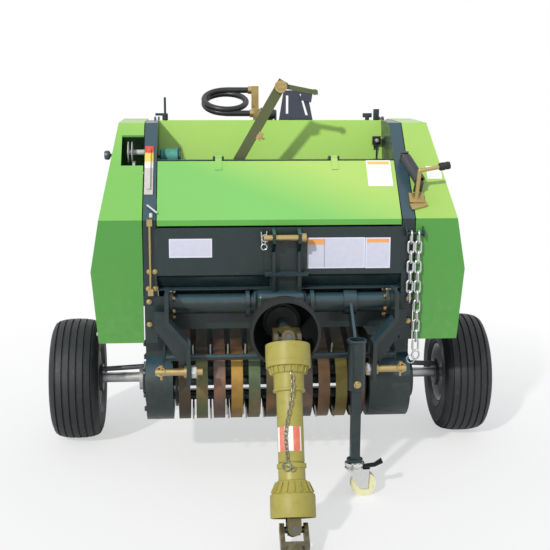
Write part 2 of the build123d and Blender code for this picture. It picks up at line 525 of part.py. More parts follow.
TOP_LINK_Y = FRONT_Y - 45
bracket = box(-48, 82, FRONT_Y - 8, FRONT_Y - FIT, 650, 790)
for x in (-TOP_LINK_GAP / 2 + 17, TOP_LINK_GAP / 2 + 17):
    ear = slab_x([(FRONT_Y - 6, 715), (FRONT_Y - 6, 790), (TOP_LINK_Y - 16, TOP_LINK_Z + 14), (TOP_LINK_Y - 16, TOP_LINK_Z - 14)], x - 5, x + 5)
    bracket += ear
bracket += box(-48, 82, FRONT_Y - 40, FRONT_Y - 4, 650, 658)
bracket -= rod((-100, TOP_LINK_Y, TOP_LINK_Z), (120, TOP_LINK_Y, TOP_LINK_Z), TOP_LINK_PIN_R + RUN)
save("top_link_bracket", bracket)
top_pin = rod((-52, TOP_LINK_Y, TOP_LINK_Z), (74, TOP_LINK_Y, TOP_LINK_Z), TOP_LINK_PIN_R)
top_pin += rod((TOP_LINK_GAP / 2 + 22 + FIT, TOP_LINK_Y, TOP_LINK_Z), (74, TOP_LINK_Y, TOP_LINK_Z), 14)
save("top_link_pin", top_pin)

# ---------------------------------------------------------------- pickup
CASE_TOP_Z = COVER_LOW_Z - FIT
for side, inner in (("left", PICKUP_LEFT), ("right", PICKUP_RIGHT)):
    sign = 1 if inner > 0 else -1
    outer = sign * CASE_OUT
    nose = rod((inner, PICKUP_Y, PICKUP_Z), (outer, PICKUP_Y, PICKUP_Z), PICKUP_R)
    body = slab_x([(PICKUP_Y - 60, PICKUP_Z), (PICKUP_Y - 60, CASE_TOP_Z), (PICKUP_Y + PICKUP_R, CASE_TOP_Z), (AXLE_Y - 135, 330),
                   (AXLE_Y - 100, 240), (AXLE_Y - 100, PICKUP_Z - PICKUP_R), (PICKUP_Y, PICKUP_Z - PICKUP_R)], inner, outer)
    end_case = nose + body
    end_case -= rod((inner - sign, PICKUP_Y, PICKUP_Z), (inner + sign * 40, PICKUP_Y, PICKUP_Z), 15 + RUN)
    if side == "right":
        end_case += rod((outer - sign * 2, PICKUP_Y, PICKUP_Z), (outer + sign * 20, PICKUP_Y, PICKUP_Z), 60)
    save(f"pickup_case_{side}", end_case)

stripper_shape = Pos(PICKUP_Y, PICKUP_Z) * Circle(PICKUP_R) + make_face(Polyline(
    (PICKUP_Y, PICKUP_Z - PICKUP_R), (PICKUP_Y + 190, PICKUP_Z - PICKUP_R + 10), (PICKUP_Y + 190, RAMP_Z - 4), (RAMP_Y + 130, RAMP_Z - 4),
    (PICKUP_Y - 24, PICKUP_Z + PICKUP_R - 2.5), close=True))
inside = offset(stripper_shape, -STRIPPER_THICK, kind=Kind.INTERSECTION)
band = stripper_shape - inside
band -= Pos(PICKUP_Y + 190, PICKUP_Z + 20) * Rectangle(60, 500)
bands = []
for i in range(STRIPPER_COUNT):
    x = STRIPPER_MID_X + (i - (STRIPPER_COUNT - 1) / 2) * STRIPPER_PITCH
    bands.append(extrude(Plane.YZ.offset(x - STRIPPER_WIDTH / 2) * band, STRIPPER_WIDTH))
save("strippers", *bands)

save("pickup_beams",
     box(PICKUP_LEFT + FIT, PICKUP_RIGHT - FIT, PICKUP_Y + 140, PICKUP_Y + 168, PICKUP_Z - PICKUP_R + 10 + 2.3, PICKUP_Z - PICKUP_R + 40),
     box(-CHAMBER_HALF + FIT, CHAMBER_HALF - FIT, PICKUP_Y + 128, PICKUP_Y + 148, RAMP_Z - 26, RAMP_Z - 11))

FRONT_BAR = (AXLE_Y - 440, 397.5)
front_bar = rod((-355, *FRONT_BAR), (355, *FRONT_BAR), 9.5)
for x in (-352, 352):
    front_bar += slab_x([(FRONT_BAR[0] - 14, FRONT_BAR[1] - 12), (FRONT_BAR[0] - 14, FRONT_BAR[1] + 12), (PICKUP_Y - 60 - FIT, CASE_TOP_Z),
                         (PICKUP_Y - 60 - FIT, 398)], x - 3, x + 3)
save("pickup_front_bar", front_bar)

# The reel: a shaft and end discs carry tine bars; each gap between two strippers has a tine on every bar.
REEL_END = 6.0
reel = rod((PICKUP_LEFT - 12, PICKUP_Y, PICKUP_Z), (PICKUP_RIGHT + 12, PICKUP_Y, PICKUP_Z), 15)
tine_x = [STRIPPER_MID_X + (i - STRIPPER_COUNT / 2) * STRIPPER_PITCH for i in range(1, STRIPPER_COUNT)]
for x in (PICKUP_LEFT + REEL_END + 4, PICKUP_RIGHT - REEL_END - 4):
    reel += rod((x - 4, PICKUP_Y, PICKUP_Z), (x + 4, PICKUP_Y, PICKUP_Z), TINE_BAR_CIRCLE_R + 16)
for k in range(TINE_BARS):
    angle = 35 + k * 360 / TINE_BARS
    y, z = on_circle(PICKUP_Y, PICKUP_Z, TINE_BAR_CIRCLE_R, angle)
    reel += rod((PICKUP_LEFT + REEL_END, y, z), (PICKUP_RIGHT - REEL_END, y, z), TINE_BAR_R)
    ty, tz = on_circle(PICKUP_Y, PICKUP_Z, TINE_TIP_R, angle - 6)
    for x in tine_x:
        reel += rod((x, y, z), (x, ty, tz), TINE_R)
save("pickup_reel", reel)

# ---------------------------------------------------------------- stand and caster
SLEEVE_LOW, SLEEVE_HIGH = 330.0, 480.0
sleeve = tube((STAND_X, STAND_Y, SLEEVE_LOW), (STAND_X, STAND_Y, SLEEVE_HIGH), SLEEVE_R, 21)
sleeve += rod((STAND_X, STAND_Y, SLEEVE_LOW), (STAND_X, STAND_Y, SLEEVE_LOW + 8), SLEEVE_R)
sleeve += rod((STAND_X, STAND_Y, SLEEVE_HIGH - 30), (STAND_X, STAND_Y, SLEEVE_HIGH - 22), SLEEVE_R)
sleeve -= box(STAND_X - LEG_SIDE / 2 - RUN, STAND_X + LEG_SIDE / 2 + RUN, STAND_Y - LEG_SIDE / 2 - RUN, STAND_Y + LEG_SIDE / 2 + RUN, 300, 500)
sleeve += slab_x([(STAND_Y + 22, 400), (STAND_Y + 22, 470), (DRIVE_Y - 30, DRIVE_Z + 10), (DRIVE_Y - 8, DRIVE_Z - 34), (STAND_Y + 60, 410)],
                 STAND_X - 4, STAND_X + 4)
sleeve -= rod((STAND_X - 30, DRIVE_Y, DRIVE_Z), (STAND_X + 30, DRIVE_Y, DRIVE_Z), DRIVE_TUBE_R + 4)
sleeve += tube((STAND_X - 20, DRIVE_Y, DRIVE_Z), (STAND_X + 20, DRIVE_Y, DRIVE_Z), DRIVE_TUBE_R + 8, DRIVE_TUBE_R + FIT)
save("stand_sleeve", sleeve)

LEG_LOW = 2 * CASTER_R + 33
leg = box(STAND_X - LEG_SIDE / 2, STAND_X + LEG_SIDE / 2, STAND_Y - LEG_SIDE / 2, STAND_Y + LEG_SIDE / 2, LEG_LOW, 465)
leg += rod((STAND_X, STAND_Y, LEG_LOW), (STAND_X, STAND_Y, LEG_LOW + 6), 24)
leg += rod((STAND_X, STAND_Y, LEG_LOW + 1), (STAND_X, STAND_Y, LEG_LOW - 22), 7)
save("stand_leg", leg)

WHEEL_X = STAND_X + CASTER_TRAIL
fork_top = LEG_LOW - 6
fork = rod((STAND_X, STAND_Y, fork_top - 16), (STAND_X, STAND_Y, fork_top), 25)
fork += box(STAND_X - 24, WHEEL_X + 16, STAND_Y - 22, STAND_Y + 22, fork_top - 20, fork_top - 15)
for end in (-1, 1):
    fork += slab_y([(STAND_X - 24, fork_top - 15), (WHEEL_X + 16, fork_top - 15), (WHEEL_X + 12, CASTER_R - 11), (WHEEL_X - 12, CASTER_R - 11)],
                   STAND_Y + end * 22, STAND_Y + end * 18)
fork += rod((WHEEL_X, STAND_Y - 22, CASTER_R), (WHEEL_X, STAND_Y + 22, CASTER_R), 5)
fork -= rod((STAND_X, STAND_Y, fork_top - 30), (STAND_X, STAND_Y, fork_top + 1), 7 + RUN)
save("caster_fork", fork)
caster = rod((WHEEL_X, STAND_Y - 14, CASTER_R), (WHEEL_X, STAND_Y + 14, CASTER_R), CASTER_R)
caster += rod((WHEEL_X, STAND_Y - 17, CASTER_R), (WHEEL_X, STAND_Y + 17, CASTER_R), 12)
caster -= rod((WHEEL_X, STAND_Y - 20, CASTER_R), (WHEEL_X, STAND_Y + 20, CASTER_R), 5 + RUN)
save("caster_wheel", caster)

# ---------------------------------------------------------------- twine arm, its bracket and its guides
lean = radians(TWINE_ARM_LEAN)
arm_dir = Vector(sin(lean), 0, cos(lean))
arm_side = Vector(cos(lean), 0, -sin(lean))
arm_foot = Vector(TWINE_ARM_X, TWINE_ARM_Y, TWINE_ARM_Z)


def on_arm(distance, side=0.0, y=0.0):
    """A point on the twine arm."""
    p = arm_foot + arm_dir * distance + arm_side * side + Vector(0, y, 0)
    return (p.X, p.Y, p.Z)


def arm_plate(first, last, half_width, y0, y1):
    """A flat bar along the arm."""
    corners = [on_arm(first, -half_width), on_arm(first, half_width), on_arm(last, half_width), on_arm(last, -half_width)]
    return slab_y([(c[0], c[2]) for c in corners], y0, y1)


arm = arm_plate(-12, TWINE_ARM_LENGTH - 10, 16, TWINE_ARM_Y - 4, TWINE_ARM_Y + 4)
arm += rod(on_arm(0, 0, -4), on_arm(0, 0, 4), 24)
top_x, _, top_z = on_arm(TWINE_ARM_LENGTH - 30)
arm += slab_y([(top_x + 8, top_z - 6), (top_x + 8, top_z + 10), (top_x + 118, top_z - 12), (top_x + 118, top_z - 26)],
              TWINE_ARM_Y + 4, TWINE_ARM_Y + 12)
arm += rod((top_x + 108, TWINE_ARM_Y - 2, top_z - 17), (top_x + 108, TWINE_ARM_Y + 14, top_z - 17), 9)
arm -= rod(on_arm(0, 0, -10), on_arm(0, 0, 10), 8 + RUN)
save("twine_arm", arm)

tensioner = rod((top_x, TWINE_ARM_Y - 4 - FIT, top_z), (top_x, TWINE_ARM_Y - 30, top_z), 5)
for y in (6, 12, 18):
    tensioner += rod((top_x, TWINE_ARM_Y - y, top_z), (top_x, TWINE_ARM_Y - y - 2.5, top_z), 19)
tensioner += box(top_x - 12, top_x + 12, TWINE_ARM_Y - 30, TWINE_ARM_Y - 25, top_z - 5, top_z + 5)
save("twine_tensioner", tensioner)

bracket_y = HOOD_BEAM_Y + 12 + FIT
bracket = box(TWINE_ARM_X - 24, TWINE_ARM_X + 24, bracket_y, bracket_y + 6, TWINE_ARM_Z - 24, 976)
bracket += rod((TWINE_ARM_X, bracket_y, TWINE_ARM_Z), on_arm(0, 0, 8), 8)
bracket += rod((TWINE_ARM_X, bracket_y, TWINE_ARM_Z), on_arm(0, 0, -4 - FIT), 16)
save("twine_arm_bracket", bracket)

TOWER_Y = AXLE_Y + 30
tower = slab_y([(26, 1066 + FIT), (44, 1182), (122, 1182), (146, 1066 + FIT)], TOWER_Y - 3, TOWER_Y + 3)
tower -= slab_y([(52, 1105), (60, 1105), (60, 1165), (52, 1165)], TOWER_Y - 8, TOWER_Y + 8)
tower -= slab_y([(98, 1170), (104, 1170), (126, 1100), (118, 1100)], TOWER_Y - 8, TOWER_Y + 8)
tower += box(26, 146, TOWER_Y - 14, TOWER_Y + 14, 1066 + FIT, 1072)
tower += slab_y([(98, 1150), (106, 1188), (142, 1182), (136, 1142)], TOWER_Y - 9, TOWER_Y - 3)
save("twine_tower", tower)

# ---------------------------------------------------------------- bale density crank, indicator, chain, levers
save("density_spring",
     rod((402, AXLE_Y - 376, 880), (402, AXLE_Y - 270, 1004), 15) + rod((402, AXLE_Y - 390, 862), (402, AXLE_Y - 255, 1022), 6))
slope_dir = Vector(0, SLOPE_TOP_Y - FRONT_Y, TOP_Z - CREASE_Z).normalized()
slope_out = Vector(0, -slope_dir.Z, slope_dir.Y)


def on_slope(x, distance, height=0.0):
    """A point above the sloping front, measured up the slope from the crease."""
    p = Vector(x, FRONT_Y, CREASE_Z) + slope_dir * distance + slope_out * height
    return (p.X, p.Y, p.Z)


crank = rod((432, AXLE_Y - 372, 876), (470, AXLE_Y - 372, 890), 6) + rod((470, AXLE_Y - 372, 890), (470, AXLE_Y - 372, 950), 6)
crank += rod((462, AXLE_Y - 372, 955), (518, AXLE_Y - 372, 974), 12)
crank += Plane(on_slope(432, 66, FIT), x_dir=(1, 0, 0), z_dir=slope_out) * (Pos(0, 0, 6) * Box(22, 40, 12))
save("density_crank", crank)
slope_plane = Plane(on_slope(-393, 190, FIT), x_dir=(1, 0, 0), z_dir=slope_out)
gauge = slope_plane * (Pos(0, 0, 2) * Box(26, 190, 4))
gauge += slope_plane * (Pos(0, 0, 8) * Box(10, 160, 10))
save("density_gauge", gauge)
pull = rod((-388, FRONT_Y - 14, 600), (-388, FRONT_Y - 14, 815), 3.5)
for z in (600, 810):
    pull += box(-396, -380, FRONT_Y - 20, FRONT_Y - 0.3, z - 10, z + 10)
save("pull_rod", pull)
save("lever_knobs",
     rod((-367, AXLE_Y - 6, TOP_Z + FIT), (-367, AXLE_Y - 6, 1160), 3) + rod((-367, AXLE_Y - 6, TOP_Z + FIT), (-367, AXLE_Y - 6, 1100), 8),
     rod((323, AXLE_Y + 4, TOP_Z + FIT), (323, AXLE_Y + 4, 1110), 8),
     rod((350, AXLE_Y + 4, TOP_Z + FIT), (350, AXLE_Y + 4, 1100), 12) + rod((350, AXLE_Y + 4, 1096), (386, AXLE_Y + 4, 1130), 4)
     + Pos(386, AXLE_Y + 4, 1130) * Sphere(9))
save("twine_ball", rod((-364, AXLE_Y - 150, 978), (-300, AXLE_Y - 150, 978), 20) + rod((-369.5, AXLE_Y - 150, 978), (-360, AXLE_Y - 150, 978), 8))
save("sheave", rod((-445, AXLE_Y - 225, 930), (-437, AXLE_Y - 225, 930), 42) + rod((-CHAMBER_HALF - PLATE - FIT, AXLE_Y - 225, 930), (-440, AXLE_Y - 225, 930), 9))

# ---------------------------------------------------------------- hose and its bracket
COIL_R = 72.0
HOSE_R = 10.0
COIL_TILT = 22.0
COIL_MID = (-150.0, AXLE_Y + 78, 1143.0)
COIL_END_X = -70.0
coil_plane = Plane(COIL_MID, x_dir=(1, 0, 0), z_dir=(0, -sin(radians(COIL_TILT)), cos(radians(COIL_TILT))))
coil_outline = Circle(COIL_R + HOSE_R) + Pos((COIL_END_X - COIL_MID[0]) / 2, 0) * Rectangle(COIL_END_X - COIL_MID[0], 2 * (COIL_R + HOSE_R))
save("hose_coil", extrude(coil_plane * coil_outline, 2 * HOSE_R, both=True))
hose_ends = []
for end in (-1, 1):
    p = coil_plane.from_local_coords((COIL_END_X - COIL_MID[0], end * COIL_R, end * HOSE_R))
    hose_ends.append(p)
front_end, rear_end = hose_ends
holder = rod(front_end, front_end + Vector(14, 0, 0), 13) + rod(rear_end, rear_end + Vector(14, 0, 0), 13)
holder += box(COIL_END_X + 12, COIL_END_X + 36, front_end.Y - 14, AXLE_Y + 44, front_end.Z - 10, front_end.Z + 14)
holder += box(COIL_END_X + 12, COIL_END_X + 36, AXLE_Y + 18, AXLE_Y + 42, 1066 + FIT, front_end.Z)
holder += box(COIL_END_X + 12, COIL_END_X + 36, AXLE_Y + 30, rear_end.Y + 14, front_end.Z + 6, front_end.Z + 14)
holder += box(COIL_END_X + 12, COIL_END_X + 36, rear_end.Y - 14, rear_end.Y + 14, front_end.Z + 6, rear_end.Z + 14)
save("hose_bracket", holder)
print("hose ends", front_end, rear_end)

# ---------------------------------------------------------------- check chain
LINK_WIRE_R = 3.2
LINK_BEND = 8.6           # radius of the wire's centre line round each end
LINK_STRAIGHT = 20.0
LINK_STEP = LINK_STRAIGHT + 2 * (LINK_BEND - LINK_WIRE_R) - FIT
CHAIN_TOP = (406.0, FRONT_Y - 16, 776.0)


def chain_link(centre, direction, across):
    """One oval link lying along a direction, in the plane of that and the one across."""
    frame = Plane(centre, x_dir=direction, z_dir=Vector(*direction).cross(Vector(*across)))
    link = None
    for end in (-1, 1):
        half = LINK_STRAIGHT / 2
        side = Plane((0, end * LINK_BEND, 0), x_dir=(0, 1, 0), z_dir=(1, 0, 0)) * Circle(LINK_WIRE_R)
        bar = Pos(-half, 0, 0) * extrude(side, LINK_STRAIGHT)
        start = Plane((end * half, -end * LINK_BEND, 0), x_dir=(0, 1, 0), z_dir=(1, 0, 0)) * Circle(LINK_WIRE_R)
        bend = revolve(start, Axis((end * half, 0, 0), (0, 0, 1)), 180)
        link = bar + bend if link is None else link + bar + bend
    return frame * link


def strand(x_offset, count, lean_x=0.0):
    """A hanging row of links, each a quarter turn from the last."""
    direction = Vector(lean_x, 0, -1).normalized()
    sideways = Vector(1, 0, lean_x).normalized()
    links = []
    for i in range(count):
        centre = Vector(CHAIN_TOP[0] + x_offset, CHAIN_TOP[1], CHAIN_TOP[2]) + direction * (i + 0.5) * LINK_STEP
        links.append(chain_link(centre, direction, sideways if i % 2 else Vector(0, 1, 0)))
    return links


save("check_chain", *strand(-11, 7, -0.01), *strand(11, 12, 0.0))
bar_z = CHAIN_TOP[2] - 4 - FIT
hook = rod((CHAIN_TOP[0] - 24, CHAIN_TOP[1], bar_z), (CHAIN_TOP[0] + 24, CHAIN_TOP[1], bar_z), 4)
for end in (-1, 1):
    hook += slab_x([(FRONT_Y - FIT, bar_z - 9), (FRONT_Y - FIT, bar_z + 20), (CHAIN_TOP[1] - 8, bar_z + 8), (CHAIN_TOP[1] - 8, bar_z - 9)],
                   CHAIN_TOP[0] + end * 24, CHAIN_TOP[0] + end * 28)
save("chain_hook", hook)
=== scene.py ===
import math

import bpy
from mathutils import Matrix, Vector


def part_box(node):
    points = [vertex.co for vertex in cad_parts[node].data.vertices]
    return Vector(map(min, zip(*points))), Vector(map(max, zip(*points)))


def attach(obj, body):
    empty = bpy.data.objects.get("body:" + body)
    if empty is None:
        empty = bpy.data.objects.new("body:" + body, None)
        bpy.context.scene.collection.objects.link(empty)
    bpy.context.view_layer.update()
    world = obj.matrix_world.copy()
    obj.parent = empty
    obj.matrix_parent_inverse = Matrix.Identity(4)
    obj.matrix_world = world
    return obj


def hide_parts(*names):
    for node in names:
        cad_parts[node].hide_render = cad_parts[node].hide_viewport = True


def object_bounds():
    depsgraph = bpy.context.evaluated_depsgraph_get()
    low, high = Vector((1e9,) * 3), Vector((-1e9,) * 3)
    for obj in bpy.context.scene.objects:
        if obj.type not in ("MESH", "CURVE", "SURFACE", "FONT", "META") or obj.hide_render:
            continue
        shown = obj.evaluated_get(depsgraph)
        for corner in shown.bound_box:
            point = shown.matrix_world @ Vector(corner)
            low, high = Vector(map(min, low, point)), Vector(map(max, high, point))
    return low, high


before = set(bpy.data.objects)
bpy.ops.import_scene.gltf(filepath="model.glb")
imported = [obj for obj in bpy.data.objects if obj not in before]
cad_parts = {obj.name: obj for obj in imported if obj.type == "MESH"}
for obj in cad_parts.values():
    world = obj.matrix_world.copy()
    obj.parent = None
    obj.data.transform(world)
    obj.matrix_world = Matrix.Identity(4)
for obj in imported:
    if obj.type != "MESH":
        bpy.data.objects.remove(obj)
cad_low, cad_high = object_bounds()

# The studio: a white floor and backdrop, soft sky light, and a sun from the
# upper left in front of the machine.  The camera looks down on the hitch
# from the height of a person's eyes.


class Value:
    """A socket of a material; arithmetic on it adds Math nodes."""

    def __init__(self, finish, socket):
        self.finish = finish
        self.socket = socket

    def math(self, operation, first, second):
        return self.finish.add("Math", {"operation": operation}, [first, second])

    def __add__(self, other):
        return self.math("ADD", self, other)

    __radd__ = __add__

    def __sub__(self, other):
        return self.math("SUBTRACT", self, other)

    def __rsub__(self, other):
        return self.math("SUBTRACT", other, self)

    def __mul__(self, other):
        return self.math("MULTIPLY", self, other)

    __rmul__ = __mul__

    def __gt__(self, other):
        return self.math("GREATER_THAN", self, other)

    def __lt__(self, other):
        return self.math("LESS_THAN", self, other)


class Finish:
    """A material in the making, or the world's, with a method that adds any node."""

    def __init__(self, name, owner=None):
        self.owner = owner or bpy.data.materials.new(name)
        self.owner.use_nodes = True
        self.tree = self.owner.node_tree
        self.shader = self.tree.nodes.get("Principled BSDF")

    def add(self, kind, settings=None, inputs=(), output=0):
        node = self.tree.nodes.new("ShaderNode" + kind)
        for name, value in (settings or {}).items():
            if name == "stops":
                ramp = node.color_ramp
                while len(ramp.elements) < len(value):
                    ramp.elements.new(0.5)
                for element, (place, colour) in zip(ramp.elements, value):
                    element.position = place
                    element.color = colour
            else:
                setattr(node, name, value)
        pairs = inputs.items() if isinstance(inputs, dict) else enumerate(inputs)
        for key, value in pairs:
            if isinstance(value, Value):
                self.tree.links.new(value.socket, node.inputs[key])
            else:
                node.inputs[key].default_value = value
        return Value(self, node.outputs[output])

    def place(self):
        return self.add("TexCoord", output="Object")

    def along(self, axis, vector=None):
        """One part of a place, or of another vector."""
        return self.add("SeparateXYZ", {}, [vector or self.place()], output=axis)

    def upward(self):
        """How far the surface faces the sky."""
        return self.along("Z", self.add("NewGeometry", output="Normal"))

    def noise(self, scale, detail, roughness=0.55):
        inputs = {"Vector": self.place(), "Scale": scale, "Detail": detail, "Roughness": roughness}
        return self.add("TexNoise", {}, inputs)

    def bands(self, value, stops):
        """Bands of plain colour, each from its own stop to the next."""
        shades = [(place, (*colour, 1)) for place, colour in stops]
        ramp = self.add("ValToRGB", {"stops": shades}, [value])
        ramp.socket.node.color_ramp.interpolation = "CONSTANT"
        return ramp

    def ramp(self, value, stops):
        shades = [(place, (grey, grey, grey, 1)) for place, grey in stops]
        return self.add("ValToRGB", {"stops": shades}, [value])

    def patches(self, scale, detail, low, high, roughness=0.55):
        """A noise cut to a mask that rises from 0 to 1 between two of its values."""
        return self.ramp(self.noise(scale, detail, roughness), [(low, 0), (high, 1)])

    def mix(self, factor, first, second, blend="MIX"):
        colours = [c if isinstance(c, Value) else (*c, 1) for c in (first, second)]
        settings = {"data_type": "RGBA", "blend_type": blend}
        return self.add("Mix", settings, {0: factor, 6: colours[0], 7: colours[1]}, output=2)

    def bump(self, height, distance, strength):
        inputs = {"Height": height, "Distance": distance, "Strength": strength}
        return self.add("Bump", {}, inputs)

    def grain(self, scale, distance, strength, detail=2):
        return self.bump(self.noise(scale, detail), distance, strength)

    def set(self, colour, roughness, normal=None, metallic=0, coat=None):
        """Joins all to the shader; a coat is its weight and its roughness."""
        sockets = {"Base Color": colour, "Roughness": roughness, "Metallic": metallic}
        if normal:
            sockets["Normal"] = normal
        if coat:
            sockets["Coat Weight"], sockets["Coat Roughness"] = coat
        for name, value in sockets.items():
            if isinstance(value, Value):
                self.tree.links.new(value.socket, self.shader.inputs[name])
            else:
                self.shader.inputs[name].default_value = value
        return self.owner


scene = bpy.context.scene
scene.view_settings.view_transform = "Standard"


def middle(node):
    """The middle of a CAD node's box."""
    low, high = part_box(node)
    return (low + high) / 2


AXLE_Y, AXLE_Z = middle("tyre_left").yz

EYE = Vector((-0.239, AXLE_Y - 3.514, 1.2825))
EYE_PITCH = math.radians(11.6)
EYE_YAW = math.radians(4.1)
EYE_ROLL = math.radians(-0.2)
camera_data = bpy.data.cameras.new("eye")
camera_data.lens = 68.7
camera_data.sensor_width = 36
camera = bpy.data.objects.new("eye", camera_data)
camera.location = EYE
camera.rotation_euler = (math.radians(90) - EYE_PITCH, EYE_ROLL, -EYE_YAW)
scene.collection.objects.link(camera)
scene.camera = camera

SUN_FROM = Vector((-0.62, -1, 0.72))
sun_data = bpy.data.lights.new("sun", "SUN")
sun_data.energy = 2.25
sun_data.angle = math.radians(2.5)
sun_data.color = (1, 0.98, 0.94)
sun = bpy.data.objects.new("sun", sun_data)
sun.rotation_euler = SUN_FROM.to_track_quat("Z", "Y").to_euler()
scene.collection.objects.link(sun)

world = bpy.data.worlds.new("studio")
scene.world = world
sky = Finish("studio", world)
sky.tree.nodes.remove(sky.tree.nodes["Background"])
rays = sky.add("LightPath", output="Is Camera Ray")
path = rays.socket.node
glossy = Value(sky, path.outputs["Is Glossy Ray"])
passing = Value(sky, path.outputs["Is Transmission Ray"])
lit = sky.add("Background", {}, {"Color": (0.92, 0.96, 1, 1), "Strength": 0.6})
seen = sky.add("Background", {}, {"Color": (1, 1, 1, 1), "Strength": 1})
which = sky.add("MixShader", {}, [rays + glossy + passing, lit, seen])
sky.tree.links.new(which.socket, sky.tree.nodes["World Output"].inputs["Surface"])


def clear_selection():
    bpy.ops.object.select_all(action="DESELECT")


FLOOR_SIZE = 60
FLOOR_CLEARANCE = 0.0005
clear_selection()
bpy.ops.mesh.primitive_plane_add(size=FLOOR_SIZE, location=(0, 0, cad_low.z - FLOOR_CLEARANCE))
floor = bpy.context.object
floor.name = "floor"
ground = Finish("floor_white")
ground.tree.nodes.remove(ground.shader)
matt = ground.add("BsdfDiffuse", {}, {"Color": (0.93, 0.93, 0.93, 1)})
glow = ground.add("Emission", {}, {"Color": (1, 1, 1, 1), "Strength": 1})
ground_ray = ground.add("LightPath", output="Is Camera Ray")
ground_spread = ground.add("VectorMath", {"operation": "LENGTH"}, [ground.place()], output="Value")
# The shadow under the machine stays; further out the floor turns plain white.
ground_glow = ground.ramp(ground_spread * 0.25, [(0.2, 0.55), (0.55, 1)])
shine = ground.add("MixShader", {}, [ground_ray * ground_glow, matt, glow])
ground.tree.links.new(shine.socket, ground.tree.nodes["Material Output"].inputs["Surface"])
floor.data.materials.append(ground.owner)

# The hydraulic hose for the rams: black rubber over steel wire, coiled once
# and a half and held by both ends in its bracket on the rear beam.
HOSE_DIAMETER = 0.02
COIL_R = 0.072
COIL_TILT = math.radians(22)
COIL_TURNS = 1.5
COIL_TURN_POINTS = 14
coil_low, coil_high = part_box("hose_coil")
coil_mid = Vector((coil_low.x + COIL_R + HOSE_DIAMETER / 2, *middle("hose_coil").yz))
coil_up = Vector((0, -math.sin(COIL_TILT), math.cos(COIL_TILT)))
coil_back = Vector((0, math.cos(COIL_TILT), math.sin(COIL_TILT)))


def coil_point(right, back, up):
    return coil_mid + Vector((right, 0, 0)) + coil_back * back + coil_up * up


lead = coil_high.x - coil_mid.x
hose_points = [coil_point(lead, -COIL_R, -HOSE_DIAMETER / 2),
               coil_point(lead * 0.5, -COIL_R, -HOSE_DIAMETER / 2)]
turn_steps = int(COIL_TURNS * COIL_TURN_POINTS)
for step in range(turn_steps + 1):
    angle = -math.pi / 2 - 2 * math.pi * step / COIL_TURN_POINTS
    share = step / turn_steps
    hose_points.append(coil_point(COIL_R * math.cos(angle), COIL_R * math.sin(angle),
                                  (share - 0.5) * HOSE_DIAMETER))
hose_points += [coil_point(lead * 0.5, COIL_R, HOSE_DIAMETER / 2),
                coil_point(lead, COIL_R, HOSE_DIAMETER / 2)]
hose_curve = bpy.data.curves.new("hydraulic_hose", "CURVE")
hose_curve.dimensions = "3D"
hose_curve.bevel_depth = HOSE_DIAMETER / 2
hose_curve.bevel_resolution = 5
hose_line = hose_curve.splines.new("NURBS")
hose_line.points.add(len(hose_points) - 1)
for point, co in zip(hose_line.points, hose_points):
    point.co = (*co, 1)
hose_line.order_u = 3
hose_line.use_endpoint_u = True
hose_line.resolution_u = 8
hose = bpy.data.objects.new("hydraulic_hose", hose_curve)
scene.collection.objects.link(hose)
hose_rubber = Finish("hose_rubber")
hose_mottle = hose_rubber.patches(9, 4, 0.35, 0.75)
hose_black = hose_rubber.mix(hose_mottle * 0.3, (0.016, 0.017, 0.018), (0.03, 0.03, 0.03))
hose_rubber.set(hose_black, hose_mottle * 0.2 + 0.32, hose_rubber.grain(520, 0.0001, 0.4))
hose_curve.materials.append(hose_rubber.owner)
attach(hose, "baler")
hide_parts("hose_coil")

# The welded frame: side plates, cross beams, the pickup's end cases and the
# tube across the front, all brushed over with the same dark blue-green paint.


def paint(name, colour, dust, wear=0, sky_sheen=None):
    """Sprayed enamel: slow tint changes, fine orange peel, dust that gathers low down, and painted sky light
    on upward faces.
    """
    finish = Finish(name)
    low = tuple(c * 0.82 for c in colour)
    tint = finish.mix(finish.patches(2.2, 2, 0.3, 0.7), low, colour)
    # Faces towards the sky are paler: painted sky light.
    if sky_sheen:
        tint = finish.mix(finish.ramp(finish.upward(), [(0.25, 0), (0.75, 1)]), tint, sky_sheen)
    height = finish.along("Z")
    near_ground = finish.ramp(height, [(0.1, 1), (0.75, 0)])
    specks = finish.patches(38, 6, 0.42, 0.72, 0.65)
    dusty = finish.mix(specks * near_ground * dust, tint, (0.36, 0.32, 0.26))
    if wear:
        chips = finish.patches(85, 4, 0.66, 0.7, 0.7)
        dusty = finish.mix(chips * wear, dusty, (0.3, 0.29, 0.27))
    return finish.set(dusty, specks * 0.25 + 0.35, finish.grain(240, 0.0002, 0.35), coat=(0.25, 0.15))


def coat_nodes(material, *names):
    """Gives each CAD node one material."""
    for name in names:
        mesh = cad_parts[name].data
        mesh.materials.clear()
        mesh.materials.append(material)


# The frame's blue tint on upward faces is painted sky light.
frame_paint = paint("frame_paint", (0.0045, 0.0175, 0.018), dust=0.05, wear=0.12, sky_sheen=(0.03, 0.074, 0.098))
coat_nodes(frame_paint, "side_frame_left", "side_frame_right", "cross_beams", "cross_tube", "hitch_brackets",
           "gearbox", "top_link_bracket", "pickup_case_left", "pickup_case_right", "pickup_beams",
           "stand_sleeve", "stand_leg", "pickup_front_bar", "gate_frame", "front_panel")

POST_DEPTH = 0.038
frame_low, frame_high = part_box("side_frame_left")[0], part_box("side_frame_right")[1]
MID_X = (frame_low.x + frame_high.x) / 2
POST_X = (frame_high.x - frame_low.x) / 2 - POST_DEPTH
FRONT_Y = frame_low.y
CREASE_Z = 0.815
SLOPE_ALONG = Vector((0, 0.275, 0.27)).normalized()
SLOPE_OUT = Vector((0, -SLOPE_ALONG.z, SLOPE_ALONG.y))


def at(x, y, z):
    """A point given from the chamber's middle and the axle."""
    return Vector((MID_X + x, AXLE_Y + y, z))


def on_slope(x, distance, height):
    """A point on the sloping front, measured up from the crease."""
    return Vector((MID_X + x, FRONT_Y, CREASE_Z)) + SLOPE_ALONG * distance + SLOPE_OUT * height


